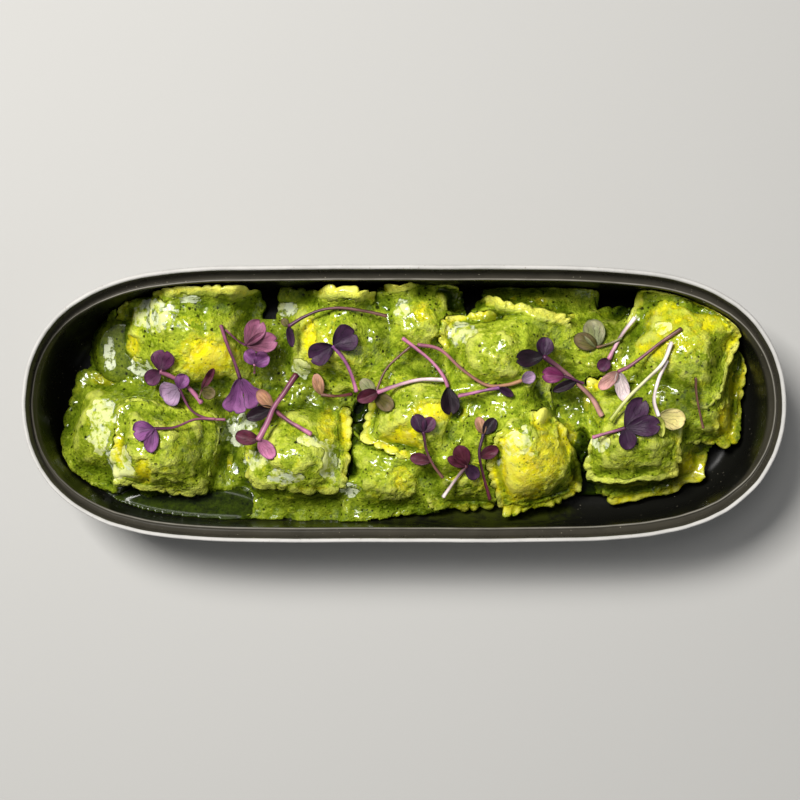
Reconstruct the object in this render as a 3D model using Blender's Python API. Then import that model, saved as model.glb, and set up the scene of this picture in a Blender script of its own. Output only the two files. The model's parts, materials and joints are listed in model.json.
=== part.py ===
"""Bowl of pansotti in pesto: an oblong stoneware bowl, 24 fluted pasta parcels lying over each
other, a pool of pesto under them and sprigs of purple cress on top.

Metres, +Z up. The origin is the middle of the bowl's foot, +X runs along the bowl and +Y across it.
Sizes below are in millimetres and are turned into metres as each mesh is made.
"""

import math

import bpy
import numpy as np
from mathutils import Vector
from mathutils.bvhtree import BVHTree

MM = 0.001
GAP = 0.35  # air left between pieces that lie on each other

# The bowl, seen from above, is |x/a|^5.5 + |y/b|^2 = 1: round ends and slightly bowed sides.
BOWL_LENGTH = 280.0
BOWL_WIDTH = 101.8
BOWL_HEIGHT = 45.0
END_POWER = 5.5
FLOOR_Z = 6.0
BOWL_POINTS = 60
# The hand-made rim is thinner towards -X and -Y, so the inside lies a little off centre.
INSIDE_SHIFT = np.array([-0.45, -0.55])

# Half the bowl's section, from the foot up the outside, over the rim and down to the floor:
# (distance in from the rim's outer edge, height, share of the inside's shift).
BOWL_SECTION = (
    (13.0, 0.0, 0.0),
    (8.4, 0.9, 0.0),
    (5.2, 4.4, 0.0),
    (2.2, 17.0, 0.0),
    (0.0, 42.4, 0.0),
    (1.1, BOWL_HEIGHT, 0.4),
    (2.3, 44.7, 1.0),
    (3.2, 43.0, 1.0),
    (4.1, 38.0, 1.0),
    (5.4, 17.0, 1.0),
    (7.4, 9.6, 1.0),
    (12.0, FLOOR_Z, 1.0),
)

# The pool of pesto: level on top, with a wavy edge that comes nearest to the wall at POOL_LEAN.
POOL_POINTS = 32
POOL_TOP = FLOOR_Z + 2.9
POOL_INSET = 10.2
POOL_SPREAD = 7.0
POOL_LEAN = math.radians(225.0)
POOL_WAVES = ((3, 2.4, 0.4), (5, 1.7, 2.1), (8, 1.0, 4.0))  # (waves round the pool, height, phase)

# A pansotto: two sheets of pasta crimped round a filling, cut with a fluted wheel.
FLUTES_A_SIDE = 6
FLUTE_DEPTH = 0.85
FLUTE_RUFFLE = 0.45
EDGE_THICKNESS = 2.3
CORNER_POWER = 8.0
DOME_POWER = 3.2
# Points in each ring from the edge inwards, and each ring's share of the parcel's half width.
RING_COUNTS = (8 * FLUTES_A_SIDE, 4 * FLUTES_A_SIDE, 4 * FLUTES_A_SIDE, 2 * FLUTES_A_SIDE)
RING_SHARES = (1.0, 0.79, 0.58, 0.30)
# Height of the upper face over the crimped edge's lower face, ring by ring, then at the middle.
TOP_HEIGHTS = (EDGE_THICKNESS, 3.0, 9.4, 13.2, 14.0)
UNDER_HEIGHTS = (0.0, -0.1, -1.0, -1.6, -1.8)
LEAST_THICKNESS = 2.0
MOST_TILT = 0.42
DROOP = 4.2
DENT = 4.0
DRAPE_GRID = 33
LOW_CLEAR = 6.9  # least distance of a low parcel from the rim's outer edge, in plan
HIGH_CLEAR = 5.9

# Where each parcel lies, from the lowest to the highest: (name, x and y of its middle, turn in
# degrees, length along its own x, width along its own y, plumpness, clearance to the wall).
PANSOTTI = (
    ("pansotto_01", -90.6, 26.6, -11.0, 39.9, 37.6, 0.95, LOW_CLEAR),
    ("pansotto_02", -85.2, -17.5, 4.0, 38.4, 36.1, 0.95, LOW_CLEAR),
    ("pansotto_03", -39.9, -24.8, -3.0, 35.3, 35.3, 0.95, LOW_CLEAR),
    ("pansotto_04", -5.7, -25.5, 5.0, 39.0, 36.8, 1.0, LOW_CLEAR),
    ("pansotto_05", 27.4, -23.3, 0.0, 37.7, 35.4, 0.9, LOW_CLEAR),
    ("pansotto_06", -16.7, 23.3, -14.0, 34.9, 37.2, 0.95, LOW_CLEAR),
    ("pansotto_07", 52.4, 29.2, 0.0, 44.4, 35.2, 0.9, LOW_CLEAR),
    ("pansotto_08", 75.2, 19.7, 12.0, 33.7, 31.4, 0.9, LOW_CLEAR),
    ("pansotto_09", 62.4, -9.1, 0.0, 36.2, 33.1, 0.9, LOW_CLEAR),
    ("pansotto_10", 94.8, -16.8, 13.0, 44.6, 38.3, 1.0, LOW_CLEAR),
    ("pansotto_11", 112.2, 3.2, -4.0, 37.1, 37.5, 0.95, LOW_CLEAR),
    ("pansotto_12", -109.6, -10.2, -12.0, 41.3, 40.5, 1.15, LOW_CLEAR),
    ("pansotto_13", 40.8, 19.4, -16.0, 37.0, 35.5, 0.95, HIGH_CLEAR),
    ("pansotto_14", 36.4, -5.5, 0.0, 39.4, 34.1, 0.95, HIGH_CLEAR),
    ("pansotto_15", 6.1, 30.6, 3.0, 33.0, 30.8, 1.05, HIGH_CLEAR),
    ("pansotto_16", -74.2, 23.4, 1.0, 41.2, 42.0, 1.05, HIGH_CLEAR),
    ("pansotto_17", -90.1, -17.2, -9.0, 37.0, 34.0, 1.0, HIGH_CLEAR),
    ("pansotto_18", -40.5, -16.0, -3.0, 39.7, 34.5, 1.05, HIGH_CLEAR),
    ("pansotto_19", -28.8, 24.5, -3.0, 39.0, 37.5, 1.05, HIGH_CLEAR),
    ("pansotto_20", 5.3, -3.2, -17.0, 36.6, 36.6, 1.05, HIGH_CLEAR),
    ("pansotto_21", 30.9, 19.2, 6.0, 32.0, 29.1, 0.92, HIGH_CLEAR),
    ("pansotto_22", 48.4, -21.8, 17.0, 34.6, 36.6, 1.0, HIGH_CLEAR),
    ("pansotto_23", 84.6, -10.3, 3.0, 38.2, 39.7, 1.05, HIGH_CLEAR),
    ("pansotto_24", 103.6, 22.4, -21.0, 41.4, 39.4, 1.05, HIGH_CLEAR),
)

# Cress: thin stems with rounded seed leaves.
STEM_SIDES = 4
STEM_STEP = 5.5
LEAF_THICKNESS = 0.5
LEAF_ROWS = 4
LEAF_CUP = 0.9
LEAF_RISE = 0.3  # most that a leaf rises over what it crosses, as a share of its length
LEAF_HANG = 0.22  # most that a leaf's tip hangs below its base, as a share of its length

# Each sprig, from the lowest to the highest: (name, stem radius, stem, leaves). The stem is the points
# that it runs through in plan. A leaf is x and y of its base, x and y of its tip, and its width.
SPRIGS = (
    ("cress_01", 0.65, ((-68.4, 29.2), (-66.1, 21.8), (-63.5, 15.2), (-61.6, 9.4)),
     ((-61.6, 9.4, -64.6, -2.4, 6.4), (-61.6, 9.4, -54.4, 1.0, 7.0))),
    ("cress_02", 0.4, ((-66.5, 27.4), (-62.4, 23.6), (-59.5, 21.8)),
     ((-59.5, 21.8, -54.0, 30.6, 6.8), (-59.5, 21.8, -48.4, 23.6, 7.0))),
    ("cress_03", 0.45, ((-57.0, 11.5), (-56.2, 14.6)),
     ((-56.2, 14.6, -59.0, 19.8, 4.6), (-56.2, 14.6, -51.4, 18.0, 5.2))),
    ("cress_04", 0.85, ((-91.4, 12.0), (-83.8, 8.0), (-80.0, 4.6), (-76.4, 0.2)),
     ((-91.4, 12.0, -89.6, 19.4, 8.2), (-91.4, 12.0, -96.6, 8.0, 5.4))),
    ("cress_05", 0.5, ((-84.6, 5.6), (-80.6, -2.0), (-74.8, -5.4), (-67.4, -6.2)),
     ((-84.6, 5.6, -90.6, 2.0, 8.4), (-84.6, 5.6, -82.4, 10.6, 4.8))),
    ("cress_06", 0.5, ((-92.0, -9.2), (-85.0, -8.8), (-77.8, -6.0), (-70.4, -5.8)),
     ((-92.0, -9.2, -99.4, -10.4, 6.6), (-92.0, -9.2, -93.6, -17.6, 4.6))),
    ("cress_07", 0.4, ((-77.2, 2.0), (-76.2, 5.2)),
     ((-76.2, 5.2, -71.8, 12.6, 2.6), (-76.2, 5.2, -71.6, 3.0, 4.4))),
    ("cress_08", 0.8, ((-34.6, -11.4), (-40.8, -8.0), (-45.4, -5.0), (-49.2, -1.6)),
     ((-49.2, -1.6, -54.6, 4.4, 4.4), (-49.2, -1.6, -58.6, -5.4, 4.6))),
    ("cress_09", 1.05, ((-40.2, 10.8), (-44.4, 4.6), (-48.8, -1.8), (-51.2, -7.8), (-54.2, -13.6)),
     ((-54.2, -13.6, -62.4, -12.0, 5.0), (-54.2, -13.6, -48.6, -19.8, 5.0))),
    ("cress_10", 0.6,
     ((-6.4, 32.6), (-14.4, 34.4), (-23.6, 35.6), (-31.0, 34.8), (-37.4, 32.2), (-43.0, 28.8)),
     ((-43.0, 28.8, -41.8, 21.6, 2.6), (-43.0, 28.8, -45.4, 31.4, 2.4))),
    ("cress_11", 0.7, ((-17.8, 4.4), (-19.8, 11.2), (-22.6, 16.8), (-26.4, 21.4)),
     ((-26.4, 21.4, -34.6, 16.6, 7.4), (-26.4, 21.4, -18.4, 26.0, 9.0))),
    ("cress_12", 0.6, ((-19.4, 3.4), (-25.4, 2.8), (-31.2, 3.2)),
     ((-31.2, 3.2, -33.4, 10.8, 3.8),)),
    ("cress_13", 0.5, ((3.0, 21.8), (-2.4, 17.2), (-7.0, 12.2), (-10.8, 3.4)),
     ((-10.8, 3.4, -15.8, 8.6, 4.4), (-10.8, 3.4, -4.6, -1.8, 5.4))),
    ("cress_14", 0.75, ((15.4, 8.8), (6.0, 8.8), (-2.4, 6.8), (-9.8, 4.2)),
     ((-9.8, 4.2, -17.0, 1.4, 4.6),)),
    ("cress_15", 0.65, ((-0.4, 24.4), (4.2, 20.8), (10.4, 15.6), (14.6, 10.4), (16.4, 6.2)),
     ((16.4, 6.2, 17.6, -3.6, 6.2),)),
    ("cress_16", 0.65, ((5.2, 21.8), (13.4, 20.0), (21.0, 13.2), (30.2, 7.0), (37.6, 6.8), (43.6, 8.4)),
     ((43.6, 8.4, 48.4, 10.6, 4.0),)),
    ("cress_17", 0.65, ((20.2, 2.8), (27.0, 4.2), (35.2, 5.8)),
     ((35.2, 5.8, 40.2, 3.0, 2.6),)),
    ("cress_18", 0.55, ((7.2, -10.6), (8.4, -17.4), (11.0, -23.0), (14.6, -27.8)),
     ((7.2, -10.6, 4.0, -4.6, 5.0), (7.2, -10.6, 10.6, -5.6, 4.6), (10.4, -21.6, 2.8, -20.2, 4.0))),
    ("cress_19", 0.65, ((23.6, -23.4), (18.8, -29.8), (14.8, -35.4)),
     ((23.6, -23.4, 20.2, -16.4, 5.6), (23.6, -23.4, 16.8, -20.6, 3.6), (23.6, -23.4, 27.6, -28.0, 4.6))),
    ("cress_20", 0.6, ((29.6, -11.4), (28.0, -18.4), (29.6, -26.8), (32.2, -36.0)),
     ((29.6, -11.4, 27.6, -5.4, 3.6), (29.6, -11.4, 33.6, -6.0, 4.2), (28.2, -20.0, 34.6, -16.8, 4.2))),
    ("cress_21", 0.9, ((51.8, 17.4), (58.4, 12.6), (64.6, 7.4), (70.2, 1.6), (73.6, -4.6)),
     ((51.8, 17.4, 52.6, 24.2, 5.6), (51.8, 17.4, 42.0, 16.4, 5.8))),
    ("cress_22", 0.5, ((66.6, 7.4), (62.0, 9.2), (59.6, 10.0)),
     ((59.6, 10.0, 51.8, 10.8, 5.4), (64.0, 8.4, 56.0, 4.8, 3.2))),
    ("cress_23", 0.75, ((87.0, 32.2), (82.6, 26.8), (79.6, 21.8), (77.0, 16.6)),
     ((77.0, 16.6, 73.6, 12.8, 4.4),)),
    ("cress_24", 0.65, ((102.2, 27.6), (95.2, 22.8), (89.0, 17.8), (83.6, 13.8), (79.4, 11.8)),
     ((79.4, 11.8, 82.2, 1.4, 4.6), (79.4, 11.8, 73.0, 5.8, 4.2))),
    ("cress_25", 0.7, ((96.8, 15.8), (93.6, 7.8), (92.4, 1.0), (94.0, -4.6)),
     ((94.0, -4.6, 103.6, -6.6, 7.0), (94.0, -4.6, 95.2, -12.0, 3.0))),
    ("cress_26", 0.65, ((70.0, -12.6), (75.8, -10.8), (81.6, -9.0)),
     ((81.6, -9.0, 88.4, 1.0, 7.4), (81.6, -9.0, 93.6, -7.8, 7.0), (81.6, -9.0, 82.8, -16.6, 5.6))),
    ("cress_27", 0.7, ((98.2, 22.4), (95.2, 15.0), (89.0, 8.6), (82.4, 2.0), (75.8, -6.2)), ()),
    ("cress_28", 0.45, ((81.6, 24.4), (77.4, 22.6), (72.4, 21.0)),
     ((72.4, 21.0, 70.6, 31.0, 7.4), (72.4, 21.0, 64.4, 24.8, 5.6))),
    ("cress_29", 0.45, ((107.8, 9.4), (108.4, 3.4), (111.4, -9.2)), ()),
)


def material(name, colour, roughness, metallic=0.0):
    """A Principled material of one colour."""
    made = bpy.data.materials.new(name)
    made.use_nodes = True
    shader = made.node_tree.nodes["Principled BSDF"]
    shader.inputs["Base Color"].default_value = (*colour, 1.0)
    shader.inputs["Roughness"].default_value = roughness
    shader.inputs["Metallic"].default_value = metallic
    return made


def outline(inset, count, shift=(0.0, 0.0)):
    """Points round the bowl in plan, inset from the rim's outer edge, and the normals there.

    They lie closer together where the outline bends more."""
    angle = np.linspace(0.0, 2.0 * math.pi, 8001)
    cosine = np.cos(angle)
    a = BOWL_LENGTH / 2
    b = BOWL_WIDTH / 2
    x = a * np.sign(cosine) * np.abs(cosine) ** (2.0 / END_POWER)
    y = b * np.sin(angle)
    normal = np.stack([END_POWER / a * np.abs(x / a) ** (END_POWER - 1) * np.sign(x), 2 * y / b**2], 1)
    normal /= np.linalg.norm(normal, axis=1)[:, None]
    step = np.hypot(np.diff(x), np.diff(y))
    bend = np.abs(np.arctan2(
        normal[:-1, 0] * normal[1:, 1] - normal[:-1, 1] * normal[1:, 0],
        (normal[:-1] * normal[1:]).sum(1),
    ))
    along = np.concatenate([[0.0], np.cumsum(step / step.sum() + bend / bend.sum())])
    wanted = np.arange(count) / count * along[-1]
    point = np.stack([np.interp(wanted, along, x), np.interp(wanted, along, y)], 1)
    facing = np.stack([np.interp(wanted, along, normal[:, 0]), np.interp(wanted, along, normal[:, 1])], 1)
    facing /= np.linalg.norm(facing, axis=1)[:, None]
    return point - inset * facing + np.asarray(shift), facing


WALL_POINTS, WALL_NORMALS = outline(0.0, 720)


def wall_distance(points):
    """Each point's distance in from the rim's outer edge, and the outward normal nearest to it."""
    away = points[:, None, :] - WALL_POINTS[None]
    nearest = np.argmin((away**2).sum(2), axis=1)
    normal = WALL_NORMALS[nearest]
    return -((points - WALL_POINTS[nearest]) * normal).sum(1), normal


def keep_inside(points, clearance, room=2.5):
    """Presses points that come near the wall inwards, without changing their order."""
    distance, normal = wall_distance(points - INSIDE_SHIFT)
    start = clearance + room
    near = np.minimum(distance, start)
    pressed = clearance + room * np.exp((near - start) / room)
    return points - np.where(distance < start, pressed - distance, 0.0)[:, None] * normal


class HeapTop:
    """The highest surface of what is already in the bowl, on a fine grid over it."""

    STEP = 0.5

    def __init__(self):
        self.x0 = -BOWL_LENGTH / 2 - 2.0
        self.y0 = -BOWL_WIDTH / 2 - 2.0
        self.shape = (int(-2 * self.x0 / self.STEP) + 1, int(-2 * self.y0 / self.STEP) + 1)
        self.height = np.full(self.shape, 0.0)

    def add(self, vertices, triangles):
        """Looks straight down on a closed mesh and keeps the higher surface at each grid point."""
        tree = BVHTree.FromPolygons([tuple(v) for v in vertices], [tuple(t) for t in triangles])
        low = np.floor((vertices.min(0)[:2] - (self.x0, self.y0)) / self.STEP).astype(int)
        high = np.ceil((vertices.max(0)[:2] - (self.x0, self.y0)) / self.STEP).astype(int)
        above = float(vertices[:, 2].max()) + 5.0
        down = Vector((0.0, 0.0, -1.0))
        for i in range(max(low[0], 0), min(high[0] + 1, self.shape[0])):
            for j in range(max(low[1], 0), min(high[1] + 1, self.shape[1])):
                hit = tree.ray_cast(Vector((self.x0 + i * self.STEP, self.y0 + j * self.STEP, above)), down)
                if hit[0] is not None and hit[0].z > self.height[i, j]:
                    self.height[i, j] = hit[0].z

    def highest(self, points, cells=1):
        """The highest surface within this many cells of each point."""
        index = np.round((points - (self.x0, self.y0)) / self.STEP).astype(int)
        found = np.zeros(len(points))
        for di in range(-cells, cells + 1):
            for dj in range(-cells, cells + 1):
                i = np.clip(index[:, 0] + di, 0, self.shape[0] - 1)
                j = np.clip(index[:, 1] + dj, 0, self.shape[1] - 1)
                found = np.maximum(found, self.height[i, j])
        return found


def facet_samples(count=5):
    """Weights of points spread over a triangle."""
    return np.array([
        (i / count, j / count, (count - i - j) / count)
        for i in range(count + 1)
        for j in range(count + 1 - i)
    ])


def lift_clear(heap, plan, under, triangles, fixed=0, rounds=40):
    """Raises the points of an underside, but for the first few, until its facets clear the heap by GAP."""
    weights = facet_samples()
    spread = weights / (weights**2).sum(1)[:, None]
    corners = plan[triangles]
    sampled = np.einsum("sk,tkc->tsc", weights, corners)
    floor = heap.highest(sampled.reshape(-1, 2)).reshape(sampled.shape[:2]) + GAP
    for _ in range(rounds):
        short = floor - under[triangles] @ weights.T
        if short.max() < 0.01:
            break
        raised = np.maximum(short, 0.0)[:, :, None] * spread[None]
        lift = np.zeros_like(under)
        for corner in range(3):
            np.maximum.at(lift, triangles[:, corner], raised[:, :, corner].max(1))
        lift[:fixed] = 0.0
        under = under + lift
    return under


def mesh_object(name, vertices, triangles, finish):
    """An object of these points, in millimetres, and triangles, smooth but for its sharp edges."""
    mesh = bpy.data.meshes.new(name)
    mesh.from_pydata([tuple(v * MM) for v in vertices], [], [tuple(int(i) for i in t) for t in triangles])
    mesh.materials.append(finish)
    mesh.update()
    mesh.shade_smooth()
    mesh.set_sharp_from_angle(angle=math.radians(50))
    made = bpy.data.objects.new(name, mesh)
    bpy.context.scene.collection.objects.link(made)
    return made


def solid_points(obj):
    """An object's points in millimetres and its triangles."""
    obj.data.calc_loop_triangles()
    points = np.array([v.co for v in obj.data.vertices]) / MM
    return points, np.array([t.vertices for t in obj.data.loop_triangles])


def ring_faces(lower, upper):
    """Triangles between two closed rings of indices, the lower with as many or twice as many points."""
    n = len(upper)
    faces = []
    for j in range(n):
        k = (j + 1) % n
        if len(lower) == n:
            faces += [(lower[j], lower[k], upper[k]), (lower[j], upper[k], upper[j])]
        else:
            a, b, c = lower[2 * j], lower[2 * j + 1], lower[(2 * j + 2) % len(lower)]
            faces += [(a, b, upper[j]), (b, upper[k], upper[j]), (b, c, upper[k])]
    return faces


def make_bowl(finish):
    """The bowl: its section carried round the outline, ring by ring, and closed at foot and floor."""
    vertices, faces, rings = [], [], []
    for inset, z, share in BOWL_SECTION:
        plan, _ = outline(inset, BOWL_POINTS, INSIDE_SHIFT * share)
        rings.append(range(len(vertices), len(vertices) + BOWL_POINTS))
        vertices += [(x, y, z) for x, y in plan]
    for lower, upper in zip(rings, rings[1:]):
        faces += ring_faces(lower, upper)
    for ring, way in ((rings[0], -1), (rings[-1], 1)):
        middle = len(vertices)
        vertices.append((0.0, 0.0, vertices[ring[0]][2]))
        for i in range(BOWL_POINTS):
            faces.append((ring[i], ring[(i + 1) % BOWL_POINTS], middle)[::way])
    return mesh_object("bowl", np.array(vertices), faces, finish)


def make_pool(heap, finish):
    """The pool of pesto, level on top, its underside just over the bowl's floor."""
    plan, facing = outline(POOL_INSET, POOL_POINTS, INSIDE_SHIFT)
    around = np.arctan2(plan[:, 1] * BOWL_LENGTH / BOWL_WIDTH, plan[:, 0])
    drawn_in = POOL_SPREAD * (1.0 - np.cos(around - POOL_LEAN)) / 2.0
    for count, height, phase in POOL_WAVES:
        drawn_in += height * (1.0 + np.sin(count * around + phase)) / 2.0
    edge = plan - drawn_in[:, None] * facing
    vertices, under_rings, top_rings = [], [], []
    for points in (edge, edge * (0.94, 0.78), edge * (0.6, 0.4)):
        floor = heap.highest(points) + GAP
        under_rings.append(range(len(vertices), len(vertices) + POOL_POINTS))
        vertices += [(x, y, z) for (x, y), z in zip(points, floor)]
        top_rings.append(range(len(vertices), len(vertices) + POOL_POINTS))
        vertices += [(x, y, POOL_TOP) for x, y in points]
    faces = []
    for outer, inner in zip(top_rings, top_rings[1:]):
        faces += ring_faces(outer, inner)
    for outer, inner in zip(under_rings, under_rings[1:]):
        faces += [f[::-1] for f in ring_faces(outer, inner)]
    faces += ring_faces(under_rings[0], top_rings[0])
    for ring, way in ((top_rings[-1], 1), (under_rings[-1], -1)):
        middle = len(vertices)
        vertices.append((0.0, 0.0, vertices[ring[0]][2]))
        for i in range(POOL_POINTS):
            faces.append((ring[i], ring[(i + 1) % POOL_POINTS], middle)[::way])
    return mesh_object("pesto_sauce", np.array(vertices), faces, finish)


def parcel_ring(count, share, power):
    """Points of one ring of a parcel, from -1 to 1 both ways: a rounded square of this share."""
    place = np.arange(count) / count * 4.0
    side = np.floor(place).astype(int)
    along = 2.0 * (place - side) - 1.0
    u = np.choose(side, [np.ones(count), -along, -np.ones(count), along])
    v = np.choose(side, [along, np.ones(count), -along, -np.ones(count)])
    size = (np.abs(u) ** power + np.abs(v) ** power) ** (1.0 / power)
    return np.stack([u, v], 1) / size[:, None] * share


def drape(heap, place, plump):
    """How high a parcel's crimped edge lies over its own square: a stiff tilted plane that droops
    towards its edge, laid over whatever is under it."""
    line = np.linspace(-1.0, 1.0, DRAPE_GRID)
    u, v = (grid.ravel() for grid in np.meshgrid(line, line, indexing="ij"))
    radius = np.minimum((np.abs(u) ** DOME_POWER + np.abs(v) ** DOME_POWER) ** (1 / DOME_POWER), 1.0)
    need = heap.highest(place(np.stack([u, v], 1)), 2) + GAP
    need += np.interp(radius, RING_SHARES[::-1] + (1.4,), tuple(-h for h in UNDER_HEIGHTS[-2::-1]) + (0.0,))
    need -= DENT * plump * np.clip(1.0 - radius**2, 0.0, 1.0)
    terms = np.stack([np.ones_like(u), u, v], 1)
    fit = np.linalg.lstsq(terms, need, rcond=None)[0]
    most = MOST_TILT * 20.0
    plane = np.clip(fit[1], -most, most) * u + np.clip(fit[2], -most, most) * v
    plane += np.percentile(need - plane, 82)
    plane -= DROOP * np.clip(radius - 0.45, 0.0, 1.0) ** 2 / 0.3
    need = need.reshape(DRAPE_GRID, DRAPE_GRID)
    sheet = np.maximum(plane.reshape(DRAPE_GRID, DRAPE_GRID), need)
    for _ in range(60):
        padded = np.pad(sheet, 1, mode="edge")
        mean = (padded[:-2, 1:-1] + padded[2:, 1:-1] + padded[1:-1, :-2] + padded[1:-1, 2:]) / 4
        sheet = np.maximum(0.35 * sheet + 0.65 * mean, need)
    return line, sheet


def at(line, sheet, points):
    """The value of a square grid at points from -1 to 1 both ways, taken linearly between its nodes."""
    spot = (np.clip(points, -1.0, 1.0) + 1.0) / 2.0 * (len(line) - 1)
    low = np.minimum(np.floor(spot).astype(int), len(line) - 2)
    part = spot - low
    i, j = low[:, 0], low[:, 1]
    a, b = part[:, 0], part[:, 1]
    return (sheet[i, j] * (1 - a) * (1 - b) + sheet[i + 1, j] * a * (1 - b)
            + sheet[i, j + 1] * (1 - a) * b + sheet[i + 1, j + 1] * a * b)


def make_pansotto(heap, row, finish, random):
    """One parcel: rings of points for its upper and lower face, joined by the fluted edge."""
    name, x, y, turn, length, width, plump, clearance = row
    cosine, sine = math.cos(math.radians(turn)), math.sin(math.radians(turn))

    def place(points):
        u, v = points[:, 0] * length / 2, points[:, 1] * width / 2
        return keep_inside(np.stack([x + u * cosine - v * sine, y + u * sine + v * cosine], 1), clearance)

    line, sheet = drape(heap, place, plump)
    rings = []
    for count, share in zip(RING_COUNTS, RING_SHARES):
        power = CORNER_POWER if share > 0.7 else DOME_POWER
        rings.append(parcel_ring(count, share, power))
    fluted = 1.0 + FLUTE_DEPTH / (length / 2) * (1 - 2 * (np.arange(RING_COUNTS[0]) % 2))
    rings[0] = rings[0] * fluted[:, None]
    rings.append(np.zeros((1, 2)))
    ends = np.cumsum([0] + [len(r) for r in rings])
    local = np.concatenate(rings)
    shares = np.repeat(range(len(rings)), [len(r) for r in rings])
    level = at(line, sheet, local)
    top = level + np.array(TOP_HEIGHTS)[shares] * np.where(shares > 1, plump, 1.0)
    under = level + np.array(UNDER_HEIGHTS)[shares]
    ruffle = np.zeros(len(local))
    ruffle[: RING_COUNTS[0]] = FLUTE_RUFFLE * (1 - 2 * (np.arange(RING_COUNTS[0]) % 2))
    lean = random.uniform(-0.9, 0.9, size=3)
    waviness = lean[0] * local[:, 0] + lean[1] * local[:, 1] + lean[2] * local[:, 0] * local[:, 1]
    top += ruffle + np.where((shares > 1) & (shares < 4), waviness, 0.0)
    under += ruffle

    index = [range(ends[i], ends[i + 1]) for i in range(len(rings))]
    upper = []
    for outer, inner in zip(index[:3], index[1:4]):
        upper += ring_faces(outer, inner)
    centre = index[4][0]
    upper += [(a, b, centre) for a, b in zip(index[3], (*index[3][1:], index[3][0]))]
    lower = ring_faces(index[0], index[1])
    lower += [(a, b, centre) for a, b in zip(index[1], (*index[1][1:], index[1][0]))]
    plan = place(local)
    under = lift_clear(heap, plan, under, np.array(lower))
    top = np.maximum(top, under + LEAST_THICKNESS + np.where(shares > 1, 2.0, 0.0))

    used = sorted(set(np.array(lower).ravel()))
    renumber = {old: len(local) + new for new, old in enumerate(used)}
    vertices = np.concatenate([np.column_stack([plan, top]), np.column_stack([plan[used], under[used]])])
    faces = upper + [tuple(renumber[i] for i in f[::-1]) for f in lower]
    faces += ring_faces([renumber[i] for i in index[0]], list(index[0]))
    return mesh_object(name, vertices, faces, finish)


def through(points, step):
    """A smooth line through the points, as points about a step apart."""
    points = np.asarray(points, float)
    ends = np.concatenate([[2 * points[0] - points[1]], points, [2 * points[-1] - points[-2]]])
    found = []
    for a, b, c, d in zip(ends, ends[1:], ends[2:], ends[3:]):
        count = max(1, round(float(np.linalg.norm(c - b)) / step))
        for t in np.arange(count) / count:
            found.append(0.5 * (2 * b + (c - a) * t + (2 * a - 5 * b + 4 * c - d) * t**2
                                + (3 * b - a - 3 * c + d) * t**3))
    return np.array(found + [points[-1]])


def settle_line(heap, plan, radius, leaves):
    """Heights of a stem's axis: a stiff line over the highest bumps under it and under its leaves."""
    fine = np.linspace(0.0, 1.0, 7)[:, None]
    need = np.zeros(len(plan))
    for i in range(len(plan) - 1):
        highest = heap.highest(plan[i] + (plan[i + 1] - plan[i]) * fine, 3).max()
        need[i] = max(need[i], highest)
        need[i + 1] = max(need[i + 1], highest)
    for x0, y0, x1, y1, _ in leaves:
        base, way = np.array([x0, y0]), np.array([x1 - x0, y1 - y0])
        highest = heap.highest(base + way * fine, 4).max() - LEAF_RISE * np.linalg.norm(way)
        nearest = np.argmin(np.linalg.norm(plan - base, axis=1))
        need[nearest] = max(need[nearest], highest)
    need += radius + GAP
    height = need.copy()
    for _ in range(30):
        padded = np.pad(height, 1, mode="edge")
        height = np.maximum((padded[:-2] + padded[2:]) / 2, need)
    return height


def tube(line, radius):
    """A closed tube of STEM_SIDES sides round a line of points, and a little beyond its ends."""
    vertices, rings = [], []
    line = line.copy()
    line[0] += (line[0] - line[1]) / np.linalg.norm(line[0] - line[1]) * radius * 1.3
    line[-1] += (line[-1] - line[-2]) / np.linalg.norm(line[-1] - line[-2]) * radius * 1.3
    for i, point in enumerate(line):
        ahead = Vector(line[min(i + 1, len(line) - 1)] - line[max(i - 1, 0)]).normalized()
        side = ahead.cross(Vector((0, 0, 1))).normalized()
        rise = side.cross(ahead)
        rings.append(range(len(vertices), len(vertices) + STEM_SIDES))
        for k in range(STEM_SIDES):
            angle = 2.0 * math.pi * k / STEM_SIDES
            vertices.append(Vector(point) + radius * (math.cos(angle) * side + math.sin(angle) * rise))
    faces = []
    for first, second in zip(rings, rings[1:]):
        for k in range(STEM_SIDES):
            m = (k + 1) % STEM_SIDES
            faces += [(first[k], second[k], second[m]), (first[k], second[m], first[m])]
    for k in range(1, STEM_SIDES - 1):
        faces.append((rings[0][0], rings[0][k], rings[0][k + 1]))
        faces.append((rings[-1][0], rings[-1][k + 1], rings[-1][k]))
    return np.array(vertices), faces


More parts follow.
